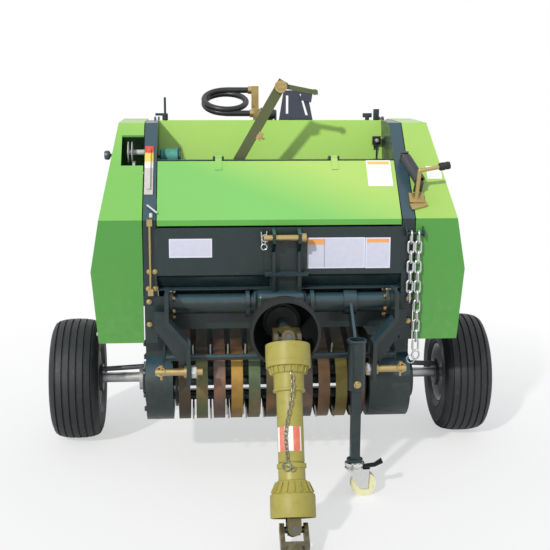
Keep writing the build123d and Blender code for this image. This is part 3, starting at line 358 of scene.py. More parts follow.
# Bolts hold the bolted joints: hexagon heads on washers, yellow zinc on the
# front of the frame and dark on the pickup's left case.


def metal(name, colour, roughness, stain=(0.18, 0.13, 0.08), stained=0.3, metallic=1):
    """Plated or bare steel with blotches of stain and fine scratches."""
    finish = Finish(name)
    blotches = finish.patches(24, 5, 0.45, 0.75, 0.6)
    tint = finish.mix(blotches * stained, colour, stain)
    scratches = finish.grain(420, 0.00015, 0.3)
    return finish.set(tint, blotches * 0.3 + roughness, scratches, metallic)


gold_zinc = metal("yellow_zinc", (0.48, 0.36, 0.16), 0.28, stain=(0.45, 0.33, 0.13), stained=0.6,
                  metallic=0.85)
bright_zinc = metal("bright_zinc", (0.62, 0.64, 0.65), 0.25, stain=(0.42, 0.4, 0.36), stained=0.4,
                    metallic=0.85)
dark_steel = metal("dark_bolts", (0.1, 0.11, 0.12), 0.4)


def settled(name, place=None):
    """Names the active piece and moves its place into its mesh."""
    piece = bpy.context.object
    piece.name = name
    piece.data.name = name
    piece.data.transform((place or Matrix.Identity(4)) @ piece.matrix_basis)
    piece.matrix_basis = Matrix.Identity(4)
    return piece


def facing(point, direction, turn=0):
    """The place of a piece made along Z: at a point, facing a direction."""
    aim = Vector(direction).to_track_quat("Z", "Y").to_matrix().to_4x4()
    return Matrix.Translation(point) @ aim @ Matrix.Rotation(turn, 4, "Z")


def joined(name, pieces):
    """Several finished pieces as one object."""
    clear_selection()
    for piece in pieces:
        piece.select_set(True)
    bpy.context.view_layer.objects.active = pieces[0]
    if len(pieces) > 1:
        bpy.ops.object.join()
    return settled(name)


def spread(source, name, places):
    """Copies of one finished piece, each with its own mesh, joined into one object."""
    copies = []
    for place in places:
        copy = source.copy()
        copy.data = source.data.copy()
        copy.data.transform(place)
        scene.collection.objects.link(copy)
        copies.append(copy)
    return joined(name, copies)


def fixed(piece, body, material, smooth=None, replaced=()):
    """Gives a finished piece its material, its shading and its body."""
    piece.data.materials.clear()
    piece.data.materials.append(material)
    if smooth:
        clear_selection()
        piece.select_set(True)
        bpy.context.view_layer.objects.active = piece
        bpy.ops.object.shade_smooth_by_angle(angle=math.radians(smooth))
    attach(piece, body)
    if replaced:
        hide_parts(*replaced)
    return piece


def edit():
    bpy.ops.object.mode_set(mode="EDIT")


def edit_done():
    bpy.ops.object.mode_set(mode="OBJECT")


def pick_all():
    bpy.ops.mesh.select_all(action="SELECT")


def draw_on(step):
    """Extrudes what is selected by one step."""
    bpy.ops.mesh.extrude_region_move(TRANSFORM_OT_translate={"value": step})


def on_circle(centre, radius, turn):
    """A point on a circle round a crosswise axis."""
    return Vector(centre) + Vector((0, radius * math.cos(turn), radius * math.sin(turn)))


WASHER = 0.0016


def hex_bolt(name, across, washer):
    """A bolt head on its washer, made standing on the ground facing up."""
    clear_selection()
    thickness = across * 0.42
    bpy.ops.mesh.primitive_cylinder_add(vertices=6, radius=across / 2, depth=thickness,
                                        location=(0, 0, WASHER + thickness / 2))
    edit()
    bpy.ops.mesh.bevel(offset=across * 0.05, segments=2)
    edit_done()
    head = settled(name)
    bpy.ops.mesh.primitive_cylinder_add(vertices=24, radius=washer / 2, depth=WASHER,
                                        location=(0, 0, WASHER / 2))
    return joined(name, [head, settled(name + "_washer")])


def discard(piece):
    bpy.data.objects.remove(piece, do_unlink=True)


bolt = hex_bolt("bolt", 0.0125, 0.016)
FORWARD = (0, -1, 0)
post_bolts = []
for x, z in ((-0.392, 0.66), (-0.376, 0.66), (-0.395, 0.608), (-0.376, 0.608)):
    post_bolts.append(facing((MID_X + x, FRONT_Y, z), FORWARD, 0.3))
fixed(spread(bolt, "post_bolts", post_bolts), "baler", gold_zinc, 30)
bracket_bolts = []
for sign in (-1, 1):
    for y, z in ((-0.413, 0.595), (-0.437, 0.56)):
        bracket_bolts.append(facing(at(sign * 0.332, y, z), (-sign, 0, 0), 0.4))
    for z in (0.5, 0.57):
        spot = (MID_X + sign * (POST_X - 0.008), FRONT_Y - 0.008, z)
        bracket_bolts.append(facing(spot, FORWARD, 0.2))
fixed(spread(bolt, "bracket_bolts", bracket_bolts), "baler", gold_zinc, 30)
tube_bolts = []
tube_low, tube_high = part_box("cross_tube")
tube_y, tube_z = middle("cross_tube").yz
FLANGE = 0.01
FLANGE_BOLT_R = 0.038
for sign, edge in ((-1, tube_low.x + FLANGE), (1, tube_high.x - FLANGE)):
    for k in range(6):
        spot = on_circle((edge, tube_y, tube_z), FLANGE_BOLT_R, math.radians(20 + 60 * k))
        tube_bolts.append(facing(spot, (-sign, 0, 0)))
fixed(spread(bolt, "tube_flange_bolts", tube_bolts), "baler", gold_zinc, 30)

# The wheels: ribbed implement tyres on silver rims that are bolted to their
# hubs.  The tyre's crown has six grooves round it and fine moulding lines.
GROOVES = (-57.5, -34.5, -11.5, 11.5, 34.5, 57.5)
GROOVE_HALF = 2.1
GROOVE_DEPTH = 5.2
TYRE_SIDES = 112
WHEEL_BOLTS = 5
WHEEL_BOLT_R = 0.06


def turned(name, profile, sides, place=None, closed=False):
    """A shape turned round Z: a circle drawn out from one radius and height to the next, in millimetres."""
    clear_selection()
    profile = [(r / 1000, z / 1000) for r, z in profile]
    radius, height = profile[0]
    bpy.ops.mesh.primitive_circle_add(vertices=sides, radius=radius, fill_type="NOTHING",
                                      location=(0, 0, height))
    edit()
    pick_all()
    for new_radius, new_height in profile[1:] + (profile[:1] if closed else []):
        draw_on((0, 0, new_height - height))
        share = new_radius / radius
        bpy.ops.transform.resize(value=(share, share, 1), center_override=(0, 0, new_height))
        radius, height = new_radius, new_height
    pick_all()
    bpy.ops.mesh.remove_doubles(threshold=0.00002)
    bpy.ops.mesh.normals_make_consistent(inside=False)
    edit_done()
    return settled(name, place)


def crown_radius(x):
    """The tyre's radius over its crown."""
    return 204.6 - 10.5 * (abs(x) / 70) ** 2.6


half_tyre = [(103.5, -68.5), (110, -74), (119, -77.5), (120.5, -79), (122.5, -79), (124, -78.2),
             (140, -81.2), (155, -81.6), (170, -80), (171.5, -80.6), (174.5, -79.8), (176, -78.2),
             (185, -75.2), (190.5, -71.8)]
tyre_profile = list(half_tyre)
for groove in GROOVES:
    wall = ((GROOVE_HALF + 1.2, 0), (GROOVE_HALF, GROOVE_DEPTH * 0.3), (GROOVE_HALF * 0.7, GROOVE_DEPTH))
    sides = [(-half, cut) for half, cut in wall] + [(half, cut) for half, cut in wall[::-1]]
    tyre_profile += [(crown_radius(groove + half) - cut, groove + half) for half, cut in sides]
tyre_profile += [(r, -x) for r, x in half_tyre[::-1]]
tyre_profile += [(103, 45), (103, -45)]
rubber = Finish("tyre_rubber")
rubber_mottle = rubber.patches(16, 5, 0.35, 0.75)
rubber_scuffs = rubber.patches(90, 4, 0.58, 0.7, 0.7)
rubber_black = rubber.mix(rubber_mottle, (0.01, 0.012, 0.015), (0.019, 0.021, 0.025))
rubber_grey = rubber.mix(rubber_scuffs * 0.25, rubber_black, (0.1, 0.1, 0.1))
rubber.set(rubber_grey, rubber_mottle * 0.2 + 0.48, rubber.grain(300, 0.0003, 0.4, detail=3))
tyre = turned("tyre", tyre_profile, TYRE_SIDES, closed=True)
wheel_bolt = hex_bolt("wheel_bolt", 0.019, 0.024)
rim_silver = paint("rim_silver", (0.6, 0.6, 0.58), dust=0.35)
coat_nodes(rim_silver, "wheel_left", "wheel_right")
for side, sign in (("left", -1), ("right", 1)):
    hub = middle("tyre_" + side)
    ribbed = spread(tyre, "ribbed_tyre_" + side, [facing(hub, (sign, 0, 0))])
    fixed(ribbed, "wheel_" + side, rubber.owner, 40, ("tyre_" + side,))
    places = []
    for k in range(WHEEL_BOLTS):
        turn = math.radians(90 + 360 / WHEEL_BOLTS * k)
        face = on_circle(hub - Vector((sign * 0.006, 0, 0)), WHEEL_BOLT_R, turn)
        places.append(facing(face, (sign, 0, 0), turn))
    fixed(spread(wheel_bolt, "wheel_bolts_" + side, places), "wheel_" + side, bright_zinc, 30)
    cap = turned("hub_cap_" + side, [(31.5, 0), (31.5, 6), (30, 16), (24, 21), (12, 23), (0.6, 23.5)], 40,
                 facing(hub + Vector((sign * 0.0442, 0, 0)), (sign, 0, 0)))
    fixed(cap, "wheel_" + side, dark_steel, 40)
    valve = turned("tyre_valve_" + side,
                   [(0.6, -12), (4.8, -12), (4.8, 0), (3.2, 4), (3.2, 22), (4, 23), (4, 31), (0.6, 32)], 16,
                   facing(hub + Vector((sign * 0.012, 0.062, 0.062)), (sign, 0, 0)))
    fixed(valve, "wheel_" + side, dark_steel, 30)
discard(tyre)
discard(wheel_bolt)
bare_steel = metal("bare_steel", (0.52, 0.52, 0.52), 0.3, stained=0.25, metallic=0.8)
coat_nodes(bare_steel, "stub_axles")

# The outer sheets: the covers, the hood and the back panel are folded sheet
# steel, sprayed a bright yellow-green.  Their paint carries painted light: paler
# on faces towards the sky, yellower higher up and to the right as painted
# sunlight, and lighter on the hood and the back panel.


def green_sheet(name, colour, pale, sunlit_tint, sunlit_from, sunlit_to):
    """Green enamel with painted light: darker where upright, paler towards the sky, yellower up and to the
    right.
    """
    finish = Finish(name)
    # Painted sky light: faces towards the sky turn pale.
    sky_light = finish.ramp(finish.upward(), [(0.15, 0), (0.6, 1)])
    place = finish.place()
    height = finish.along("Z", place)
    across = finish.along("X", place)
    # Painted sunlight: the tint turns yellow higher up and towards the right.
    reach = finish.ramp(height + across * 0.35, [(sunlit_from, 0), (sunlit_to, 1)])
    cloud = finish.patches(1.7, 2, 0.3, 0.7)
    top = finish.mix(reach, pale, sunlit_tint)
    tint = finish.mix(cloud * 0.12, finish.mix(sky_light, colour, top), tuple(c * 0.8 for c in colour))
    near_ground = finish.ramp(height, [(0.4, 1), (0.7, 0)])
    specks = finish.patches(38, 6, 0.45, 0.75, 0.65)
    dusty = finish.mix(specks * near_ground * 0.18, tint, (0.4, 0.36, 0.28))
    peel = finish.grain(240, 0.0002, 0.3)
    return finish.set(dusty, specks * 0.15 + 0.34, peel, coat=(0.2, 0.2))


# One green in three copies: the hood's is lighter and the back panel's much lighter, as painted sunlight.
UPRIGHT_GREEN = (0.07, 0.285, 0.042)
cover_paint = green_sheet("cover_green", UPRIGHT_GREEN, (0.205, 0.53, 0.105), (0.38, 0.61, 0.125), 0.8, 1.1)
lit_hood_paint = green_sheet("hood_green", (0.105, 0.38, 0.055), (0.205, 0.55, 0.13), (0.44, 0.66, 0.15),
                         0.86, 1.06)
sunlit_back_paint = green_sheet("back_panel_green_sunlit", (0.33, 0.62, 0.09), (0.5, 0.72, 0.19), (0.48, 0.7, 0.15),
                         1.05, 1.2)
coat_nodes(cover_paint, "side_cover_left", "side_cover_right", "gate_cover_left", "gate_cover_right")
coat_nodes(lit_hood_paint, "hood")
coat_nodes(sunlit_back_paint, "back_panel")
cover_bolts = []
for side, sign in (("left", -1), ("right", 1)):
    for y in (-0.39, -0.18, 0.02):
        cover_bolts.append(facing(at(sign * 0.5495, y, 0.462), (sign, 0, 0.06)))
fixed(spread(bolt, "cover_bolts", cover_bolts), "baler", bright_zinc, 30)
gate_bolts = [facing(at(sign * 0.5495, y, 0.462), (sign, 0, 0.06)) for sign in (-1, 1) for y in (0.1, 0.36)]
fixed(spread(bolt, "gate_cover_bolts", gate_bolts), "gate", bright_zinc, 30)

# Blank plates of pale vinyl are stuck to the sheets: rounded corners, a thin
# frame round the edge, and on some a plain band of colour at the top.
PLATE_FRAME = 0.004
PLATE_THICKNESS = 0.0006
SPLIT_LINE_HALF = 0.0012


def plate(name, width, height, place, body, ground_colour, band_colour=None, band_share=0, split=None):
    """A thin blank plate; its material draws the frame, the band and the line that splits it."""
    clear_selection()
    bpy.ops.mesh.primitive_plane_add(size=1, location=(0, 0, 0))
    bpy.ops.transform.resize(value=(width, height, 1))
    edit()
    bpy.ops.mesh.bevel(offset=PLATE_FRAME, segments=4, affect="VERTICES")
    pick_all()
    draw_on((0, 0, PLATE_THICKNESS))
    edit_done()
    piece = settled(name)
    face = Finish(name + "_face")
    from_middle = {"Vector": face.place(), "Location": place.to_translation(), "Rotation": place.to_euler()}
    local = face.add("Mapping", {"vector_type": "TEXTURE"}, from_middle)
    x = face.along("X", local)
    y = face.along("Y", local)
    mottle = face.patches(60, 4, 0.35, 0.75)
    colour = face.mix(mottle * 0.25, ground_colour, tuple(c * 0.7 for c in ground_colour))
    if band_colour:
        in_band = (y > height * (0.47 - band_share)) * (y < height * 0.46)
        if split:
            in_band = in_band * (x < split)
        colour = face.mix(in_band, colour, band_colour)
    if split:
        line = (x > split - SPLIT_LINE_HALF) * (x < split + SPLIT_LINE_HALF)
        colour = face.mix(line, colour, (0.3, 0.3, 0.36))
    half_x, half_y = width / 2 - PLATE_FRAME, height / 2 - PLATE_FRAME
    edge = (x > half_x) + (x < -half_x) + (y > half_y) + (y < -half_y)
    colour = face.mix(face.ramp(edge, [(0, 0), (0.5, 1)]), colour,
                      tuple(min(1, c * 1.15) for c in ground_colour))
    face.set(colour, mottle * 0.1 + 0.32)
    piece.data.transform(place)
    return fixed(piece, body, face.owner)


LILAC = (0.6, 0.6, 0.72)
WHITE = (0.86, 0.86, 0.84)
ORANGE = (0.8, 0.36, 0.1)
AMBER = (0.85, 0.55, 0.16)
front_plate_y = FRONT_Y - 0.0002
plate("data_plate", 0.128, 0.057, facing((MID_X - 0.268, front_plate_y, 0.73), FORWARD), "baler", LILAC)
plate("notice_plate_wide", 0.191, 0.094, facing((MID_X + 0.162, front_plate_y, 0.712), FORWARD), "baler",
      LILAC, ORANGE, 0.2, -0.028)
plate("notice_plate_small", 0.076, 0.094, facing((MID_X + 0.2965, front_plate_y, 0.711), FORWARD), "baler",
      LILAC, ORANGE, 0.13)
HOOD_ALONG = Vector((0, 0.152, 0.161)).normalized()
HOOD_OUT = Vector((0, -HOOD_ALONG.z, HOOD_ALONG.y))
hood_foot = Vector((MID_X + 0.3165, FRONT_Y + 0.002, CREASE_Z - 0.001))
hood_spot = hood_foot + HOOD_ALONG * 0.172 + HOOD_OUT * 0.0003
plate("hood_plate", 0.076, 0.099, facing(hood_spot, HOOD_OUT), "hood", WHITE, AMBER, 0.13)
plate("cover_plate", 0.046, 0.05, facing(on_slope(0.489, 0.178, 0.0004), SLOPE_OUT), "baler", WHITE)
discard(bolt)

# The pickup: chromate-plated stripper bands with painted light and shade up their
# height, bare tines on bars coloured near black as painted shade, and the bale
# chamber's rollers behind them in the shade.
roller_steel = metal("roller_steel", (0.115, 0.12, 0.125), 0.45, stained=0.5, metallic=0.6)
coat_nodes(roller_steel, "chamber_rollers", "gate_rollers")
strip_low, strip_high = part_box("strippers")
reel_low, reel_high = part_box("pickup_reel")
REEL_X, REEL_Y, REEL_Z = middle("pickup_reel")
STRIP_GAP_HALF = 0.009
STRIP_COLOURS = ((0.12, 0.085, 0.045), (0.19, 0.22, 0.085), (0.23, 0.15, 0.12), (0.56, 0.33, 0.06),
                 (0.15, 0.21, 0.11), (0.16, 0.12, 0.05), (0.18, 0.15, 0.07), (0.19, 0.15, 0.125),
                 (0.4, 0.22, 0.11), (0.4, 0.33, 0.08), (0.26, 0.14, 0.07))
chromate = Finish("strip_chromate")
strip_from, strip_to = strip_low.x - STRIP_GAP_HALF, strip_high.x + STRIP_GAP_HALF
strip_share = chromate.add("MapRange", {}, [chromate.along("X"), strip_from, strip_to, 0, 1])
strip_stops = [(k / len(STRIP_COLOURS), colour) for k, colour in enumerate(STRIP_COLOURS)]
strip_tint = chromate.bands(strip_share, strip_stops)
# Painted light and shade: the strippers are darker low down and above the front bar, and brightest just below
# it.
strip_rise = chromate.add("MapRange", {}, [chromate.along("Z"), 0.16, 0.46, 0, 1])
strip_light_and_shade = chromate.ramp(strip_rise,
                           [(0.1, 0.4), (0.45, 0.6), (0.66, 1), (0.72, 1), (0.77, 0.14), (1, 0.08)])
strip_clouds = chromate.ramp(chromate.noise(21, 4, 0.6), [(0.3, 0.65), (0.7, 1)])
strip_shade = chromate.mix(1, strip_tint, strip_light_and_shade * strip_clouds, "MULTIPLY")
strip_warm = chromate.ramp(chromate.noise(9, 3), [(0.48, 0), (0.66, 0.35)])
strip_colour = chromate.mix(strip_warm, strip_shade, (0.34, 0.15, 0.07))
chromate.set(strip_colour, strip_clouds * 0.15 + 0.28, chromate.grain(260, 0.0002, 0.3), 0.35)
coat_nodes(chromate.owner, "strippers")
tines = Finish("tine_steel")
tine_y, tine_z = tines.along("Y") - REEL_Y, tines.along("Z") - REEL_Z
tine_reach = tines.add("Math", {"operation": "SQRT"}, [tine_y * tine_y + tine_z * tine_z])
tine_bare = tines.ramp(tine_reach, [(0.114, 0), (0.12, 1)])
tine_specks = tines.patches(60, 4, 0.4, 0.75)
tine_metal = tines.mix(tine_specks * 0.4, (0.55, 0.57, 0.58), (0.25, 0.2, 0.14))
# Inside the tines' reach the reel is near black and not metallic: painted shade.
tine_colour = tines.mix(tine_bare, (0.02, 0.032, 0.034), tine_metal)
tines.set(tine_colour, tine_specks * 0.2 + 0.32, metallic=tine_bare * 0.7)
coat_nodes(tines.owner, "pickup_reel")

# Hitch pins, plated yellow zinc: each lower pin carries a linch pin with its
# ring outside and two nuts inside; the upper one has a spring clip.
coat_nodes(gold_zinc, "lower_link_pins", "top_link_pin", "pull_rod", "twine_tensioner", "hose_bracket")


def bar(name, start, end, radius, sides=24):
    """A round bar with eased ends between two points."""
    radius, length = radius * 1000, (end - start).length * 1000
    ease = min(radius * 0.25, 1)
    half = [(0.2, 0), (radius - ease, 0), (radius, ease)]
    profile = half + [(r, length - z) for r, z in half[::-1]]
    return turned(name, profile, sides, facing(start, end - start))


def ring(name, radius, wire, place):
    """A ring bent from wire."""
    clear_selection()
    bpy.ops.mesh.primitive_torus_add(major_radius=radius, minor_radius=wire, major_segments=28,
                                     minor_segments=8)
    return settled(name, place)


pins_low, pins_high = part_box("lower_link_pins")
PIN_Y, PIN_Z = middle("lower_link_pins").yz
LINCH_HOLE = 0.018
linch = []
for sign, edge in ((-1, pins_low.x + LINCH_HOLE), (1, pins_high.x - LINCH_HOLE)):
    hole = Vector((edge, PIN_Y - 0.004, PIN_Z))
    ring_at = facing(hole + Vector((sign * 0.003, -0.004, 0.004)), (0.35 * sign, -1, 0.25))
    linch += [bar("linch", hole - Vector((0, 0, 0.023)), hole + Vector((0, 0, 0.018)), 0.004, 14),
              bar("linch_head", hole + Vector((0, 0, 0.016)), hole + Vector((0, 0, 0.023)), 0.007, 16),
              ring("linch_ring", 0.0135, 0.0019, ring_at)]
fixed(joined("linch_pins", linch), "baler", gold_zinc, 35)
big_nut = hex_bolt("big_nut", 0.041, 0.03)
nut_faces = [facing(Vector((MID_X + sign * 0.2525, PIN_Y, PIN_Z)), (sign, 0, 0), 0.5) for sign in (-1, 1)]
fixed(spread(big_nut, "link_pin_nuts", nut_faces), "baler", bright_zinc, 30)
discard(big_nut)
clip_at = Vector((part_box("top_link_pin")[0].x + 0.005, *middle("top_link_pin").yz))
clip = [ring("clip_eye", 0.0085, 0.0016, facing(clip_at + Vector((-0.004, -0.003, -0.026)), FORWARD)),
        ring("clip_bow", 0.0105, 0.0016, facing(clip_at + Vector((0, -0.002, 0)), (0.2, -1, 0.3))),
        bar("clip_leg", clip_at + Vector((-0.002, -0.004, -0.02)), clip_at + Vector((0.004, -0.006, 0.022)),
            0.0016, 10),
        bar("clip_leg_outer", clip_at + Vector((-0.01, -0.004, -0.018)),
            clip_at + Vector((-0.013, -0.006, 0.02)), 0.0016, 10)]
fixed(joined("spring_clip", clip), "baler", bright_zinc, 35)

# The drive shaft's guard: two moulded bells with ribbed cones on a telescopic
# tube, over the cardan joints.  The joints' yokes are forged and painted.


def moulded(name, colour, shade, roughness=0.42):
    """Moulded plastic with a fine grain and faint flow marks."""
    finish = Finish(name)
    marks = finish.patches(7, 4, 0.3, 0.72)
    grime = finish.patches(45, 5, 0.52, 0.75, 0.65)
    tint = finish.mix(grime * 0.3, finish.mix(marks * 0.45, colour, shade), tuple(c * 0.45 for c in shade))
    return finish.set(tint, marks * 0.15 + roughness, finish.grain(420, 0.0001, 0.4))


OLIVE = (0.365, 0.325, 0.066)
OLIVE_SHADE = (0.27, 0.23, 0.046)
guard_olive = moulded("guard_olive", OLIVE, OLIVE_SHADE)
guard_black = moulded("guard_black", (0.006, 0.007, 0.008), (0.012, 0.013, 0.014), 0.5)
yoke_paint = paint("yoke_paint", (0.085, 0.07, 0.022), dust=0.35)
coat_nodes(guard_black, "drive_guard")
coat_nodes(yoke_paint, "input_yoke", "tail_yoke")
coat_nodes(bare_steel, "sheave")
coat_nodes(dark_steel, "rear_cross", "front_cross")
SHAFT_FALL = math.radians(63)
FORGED_ENDS = (0.066, 0.448)
SHAFT_DOWN = Vector((0, -math.cos(SHAFT_FALL), -math.sin(SHAFT_FALL)))
REAR_JOINT = middle("rear_cross")
shaft_place = facing(REAR_JOINT, SHAFT_DOWN)
shaft_coat = Finish("shaft_olive_and_steel")
from_joint = shaft_coat.add("VectorMath", {"operation": "SUBTRACT"}, [shaft_coat.place(), REAR_JOINT])
reach = shaft_coat.add("VectorMath", {"operation": "DOT_PRODUCT"}, [from_joint, SHAFT_DOWN], output="Value")
forged = (reach < FORGED_ENDS[0]) + (reach > FORGED_ENDS[1])
shaft_grain = shaft_coat.patches(30, 5, 0.35, 0.72)
plain_olive = shaft_coat.mix(shaft_grain * 0.5, OLIVE, OLIVE_SHADE)
forged_brown = shaft_coat.mix(shaft_grain * 0.5, (0.105, 0.085, 0.026), (0.05, 0.042, 0.016))
shaft_coat.set(shaft_coat.mix(forged, plain_olive, forged_brown), shaft_grain * 0.15 + 0.4)
coat_nodes(shaft_coat.owner, "shaft_rear", "shaft_front")
SHAFT_FRONT = Vector((0, SHAFT_DOWN.z, -SHAFT_DOWN.y))


def on_shaft(distance, radius, turn):
    """A point on the shaft's guard, turned from its front round to the machine's right."""
    side = Vector((math.sin(turn), 0, 0)) + SHAFT_FRONT * math.cos(turn)
    return REAR_JOINT + SHAFT_DOWN * distance + side * radius


upper = turned("upper",
               [(60, 15), (62, 16), (62.5, 20), (62.5, 62), (61.5, 66), (55, 67), (47.5, 98), (42, 99.5),
                (42, 140), (44.5, 141.5), (44.5, 147), (35.7, 149), (35.7, 338), (35.3, 339), (34, 339),
                (34, 252), (35.2, 251), (35.2, 78), (45, 78), (54, 62), (60, 58)], 64, shaft_place,
               closed=True)
lower = turned("lower",
               [(34, 342), (39, 342), (40, 343), (40, 354), (36.5, 356), (36.5, 386), (41, 388), (56, 421),
                (59.5, 423), (61, 427), (61, 482), (60, 485), (58, 485), (57.5, 430), (35, 395), (34, 380)],
               64, shaft_place, closed=True)
RIBS = 18


def block(name, size, place=None, ease=0.002):
    """A small block with eased edges, at a point or a place."""
    clear_selection()
    bpy.ops.mesh.primitive_cube_add(size=1)
    bpy.ops.transform.resize(value=size)
    edit()
    bpy.ops.mesh.bevel(offset=ease, segments=2)
    edit_done()
    return settled(name, Matrix.Translation(place) if isinstance(place, Vector) else place)


rib = block("rib", (0.004, 0.006, 0.03), ease=0.0012)


def rib_places(distance, radius, lean):
    """The places of the ribs round one cone."""
    places = []
    for k in range(RIBS):
        round_shaft = shaft_place @ Matrix.Rotation(2 * math.pi * k / RIBS, 4, "Z")
        places.append(round_shaft @ Matrix.Translation((0, radius, distance)) @ Matrix.Rotation(lean, 4, "X"))
    return places


upper_ribs = spread(rib, "upper_ribs", rib_places(0.083, 0.052, math.radians(14)))
lower_ribs = spread(rib, "lower_ribs", rib_places(0.405, 0.05, math.radians(-25)))
fixed(joined("upper_guard_bell", [upper, upper_ribs]), "shaft_rear", guard_olive, 35)
fixed(joined("lower_guard_bell", [lower, lower_ribs]), "shaft_front", guard_olive, 35)
discard(rib)

# A blank vinyl label, red at its edges, is stuck round the guard's tube: a
# short length of tube, cut down to its front and thickened.
LABEL_MID = 0.278
clear_selection()
bpy.ops.mesh.primitive_cylinder_add(vertices=64, radius=0.0362, depth=0.066, end_fill_type="NOTHING",
                                    location=(0, 0, LABEL_MID))
wrap = settled("guard_label", shaft_place)
edit()
pick_all()
label_front = REAR_JOINT + SHAFT_DOWN * LABEL_MID + SHAFT_FRONT * 0.008
bpy.ops.mesh.bisect(plane_co=label_front, plane_no=SHAFT_FRONT, clear_inner=True)
pick_all()
bpy.ops.mesh.bisect(plane_co=REAR_JOINT + Vector((0.026, 0, 0)), plane_no=(1, 0, 0), clear_outer=True)
pick_all()
bpy.ops.mesh.extrude_region_shrink_fatten(TRANSFORM_OT_shrink_fatten={"value": 0.0004})
edit_done()
label = Finish("guard_label_vinyl")
label_x = label.along("X") - REAR_JOINT.x
label_edge = (label_x > 0.004) * (label_x < 0.0225) - (label_x > 0.0065) * (label_x < 0.02) * 0.45
label_red = label_edge + (label_x < -0.019) * (label_x > -0.031) * 0.8
label_scuffs = label.patches(70, 4, 0.4, 0.72)
label_tint = label.mix(label.ramp(label_red, [(0, 0), (0.5, 1)]), (0.85, 0.83, 0.78), (0.72, 0.16, 0.1))
label_tint = label.mix(label_scuffs * 0.25, label_tint, (0.7, 0.62, 0.5))
label.set(label_tint, label_scuffs * 0.2 + 0.35)
fixed(wrap, "shaft_rear", label.owner, 30)

# The guard's stay chain hangs down its front from the upper cone to a snap
# hook: small steel links, each turned against the next.
clear_selection()
bpy.ops.mesh.primitive_torus_add(major_radius=0.0048, minor_radius=0.0013, major_segments=16,
                                 minor_segments=6)
edit()
pick_all()
bpy.ops.transform.resize(value=(1, 1.75, 1))
edit_done()
small_link = settled("small_link")
CHAIN_LINKS = 21
chain_places = []
for k in range(CHAIN_LINKS):
    share = k / (CHAIN_LINKS - 1)
    distance = 0.104 + 0.0115 * k
    turn = math.radians(6 + 7 * math.sin(share * 7) - 30 * share)
    radius = (0.046 if distance < 0.152 else 0.0395) + 0.0022
    spot = on_shaft(distance, radius, turn)
    outward = (spot - (REAR_JOINT + SHAFT_DOWN * distance)).normalized()
    across = SHAFT_DOWN.cross(outward)
    lying = Matrix.Translation(spot) @ Matrix((across, SHAFT_DOWN, outward)).transposed().to_4x4()
    chain_places.append(lying @ Matrix.Rotation(math.radians(35 if k % 2 else -40), 4, "Y"))
stay = spread(small_link, "stay_chain_links", chain_places)
hook_at = on_shaft(0.352, 0.045, math.radians(-22))
snap = [ring("snap_bow", 0.0115, 0.0021, facing(hook_at, (-0.2, -1, 0.45))),
        ring("snap_eye", 0.0065, 0.0018, facing(hook_at + Vector((0.016, -0.002, -0.007)), (-0.2, -1, 0.45))),
        bar("snap_tongue", hook_at + Vector((-0.012, -0.002, 0.006)),
            hook_at + Vector((0.018, -0.003, -0.004)), 0.0019, 10)]
chain_metal = metal("dark_chain", (0.3, 0.28, 0.2), 0.38, stained=0.5, metallic=0.8)
fixed(joined("stay_chain", [stay] + snap), "shaft_rear", chain_metal, 35)
discard(small_link)

# A sheet closes the chamber below the front panel, behind the cross tube; it
# is bent back under the panel and painted with the frame.


def bent_sheet(name, centre, width, depth, folds, thickness):
    """A level strip whose rear edge is drawn on through one fold after another."""
    clear_selection()
    bpy.ops.mesh.primitive_plane_add(size=1, location=(0, 0, 0))
    bpy.ops.transform.resize(value=(width, depth, 1))
    edit()
    bpy.ops.mesh.select_all(action="DESELECT")
    edit_done()
    mesh = bpy.context.object.data
    for edge in mesh.edges:
        edge.select = all(mesh.vertices[k].co.y > 0 for k in edge.vertices)
    edit()
    bpy.context.tool_settings.mesh_select_mode = (False, True, False)
    for back, rise in folds:
        draw_on((0, back, rise))
    bpy.context.tool_settings.mesh_select_mode = (True, False, False)
    edit_done()
    sheet = settled(name, Matrix.Translation(centre))
    sheet.modifiers.new("thick", "SOLIDIFY").thickness = thickness
    bpy.ops.object.modifier_apply(modifier="thick")
    return sheet


panel_low, panel_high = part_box("front_panel")
shield_at = Vector((MID_X, FRONT_Y + 0.038, panel_low.z - 0.004))
shield = bent_sheet("lower_shield", shield_at, panel_high.x - panel_low.x - 0.004, 0.068, [(0, -0.14)], 0.003)
fixed(shield, "baler", frame_paint)

# Behind the reel a pan of dark sheet steel, bent twice, closes the pickup; it is
# fixed to the frame.  It stands for a real rear plate, and its dark between the
# strippers is also painted shade.
pan_at = Vector((REEL_X, AXLE_Y - 0.1515, 0.443))
pan_folds = [(0, -0.071), (0.026, -0.054), (0, -0.085)]
pan = bent_sheet("pickup_pan", pan_at, reel_high.x - reel_low.x - 0.01, 0.004, pan_folds, 0.0025)
fixed(pan, "baler", dark_steel)

# Axle bracing: a dark bar above each stub axle ends in a collar round it
# inside the rim.  The pickup's left case is held by a row of dark bolts.
braces = []
for sign, wheel in ((-1, "wheel_left"), (1, "wheel_right")):
    wheel_low, wheel_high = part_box(wheel)
    inner = wheel_high.x if sign < 0 else wheel_low.x
    end = Vector((inner - sign * 0.004, AXLE_Y - 0.012, AXLE_Z + 0.033))
    braces.append(bar("brace", Vector((MID_X + sign * 0.438, end.y, end.z + 0.008)), end, 0.0085))
    collar = turned("collar", [(18, -6), (45, -6), (46.5, -4), (46.5, 4), (45, 6), (18, 6)], 40,
                    facing((inner - sign * 0.009, AXLE_Y, AXLE_Z), (sign, 0, 0)), closed=True)
    braces.append(collar)
fixed(joined("axle_braces", braces), "baler", dark_steel, 35)
BOSS_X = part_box("pickup_case_left")[0].x
BOSS_BOLT_R = 0.088
small_bolt = hex_bolt("small_bolt", 0.017, 0.022)
case_bolts = []
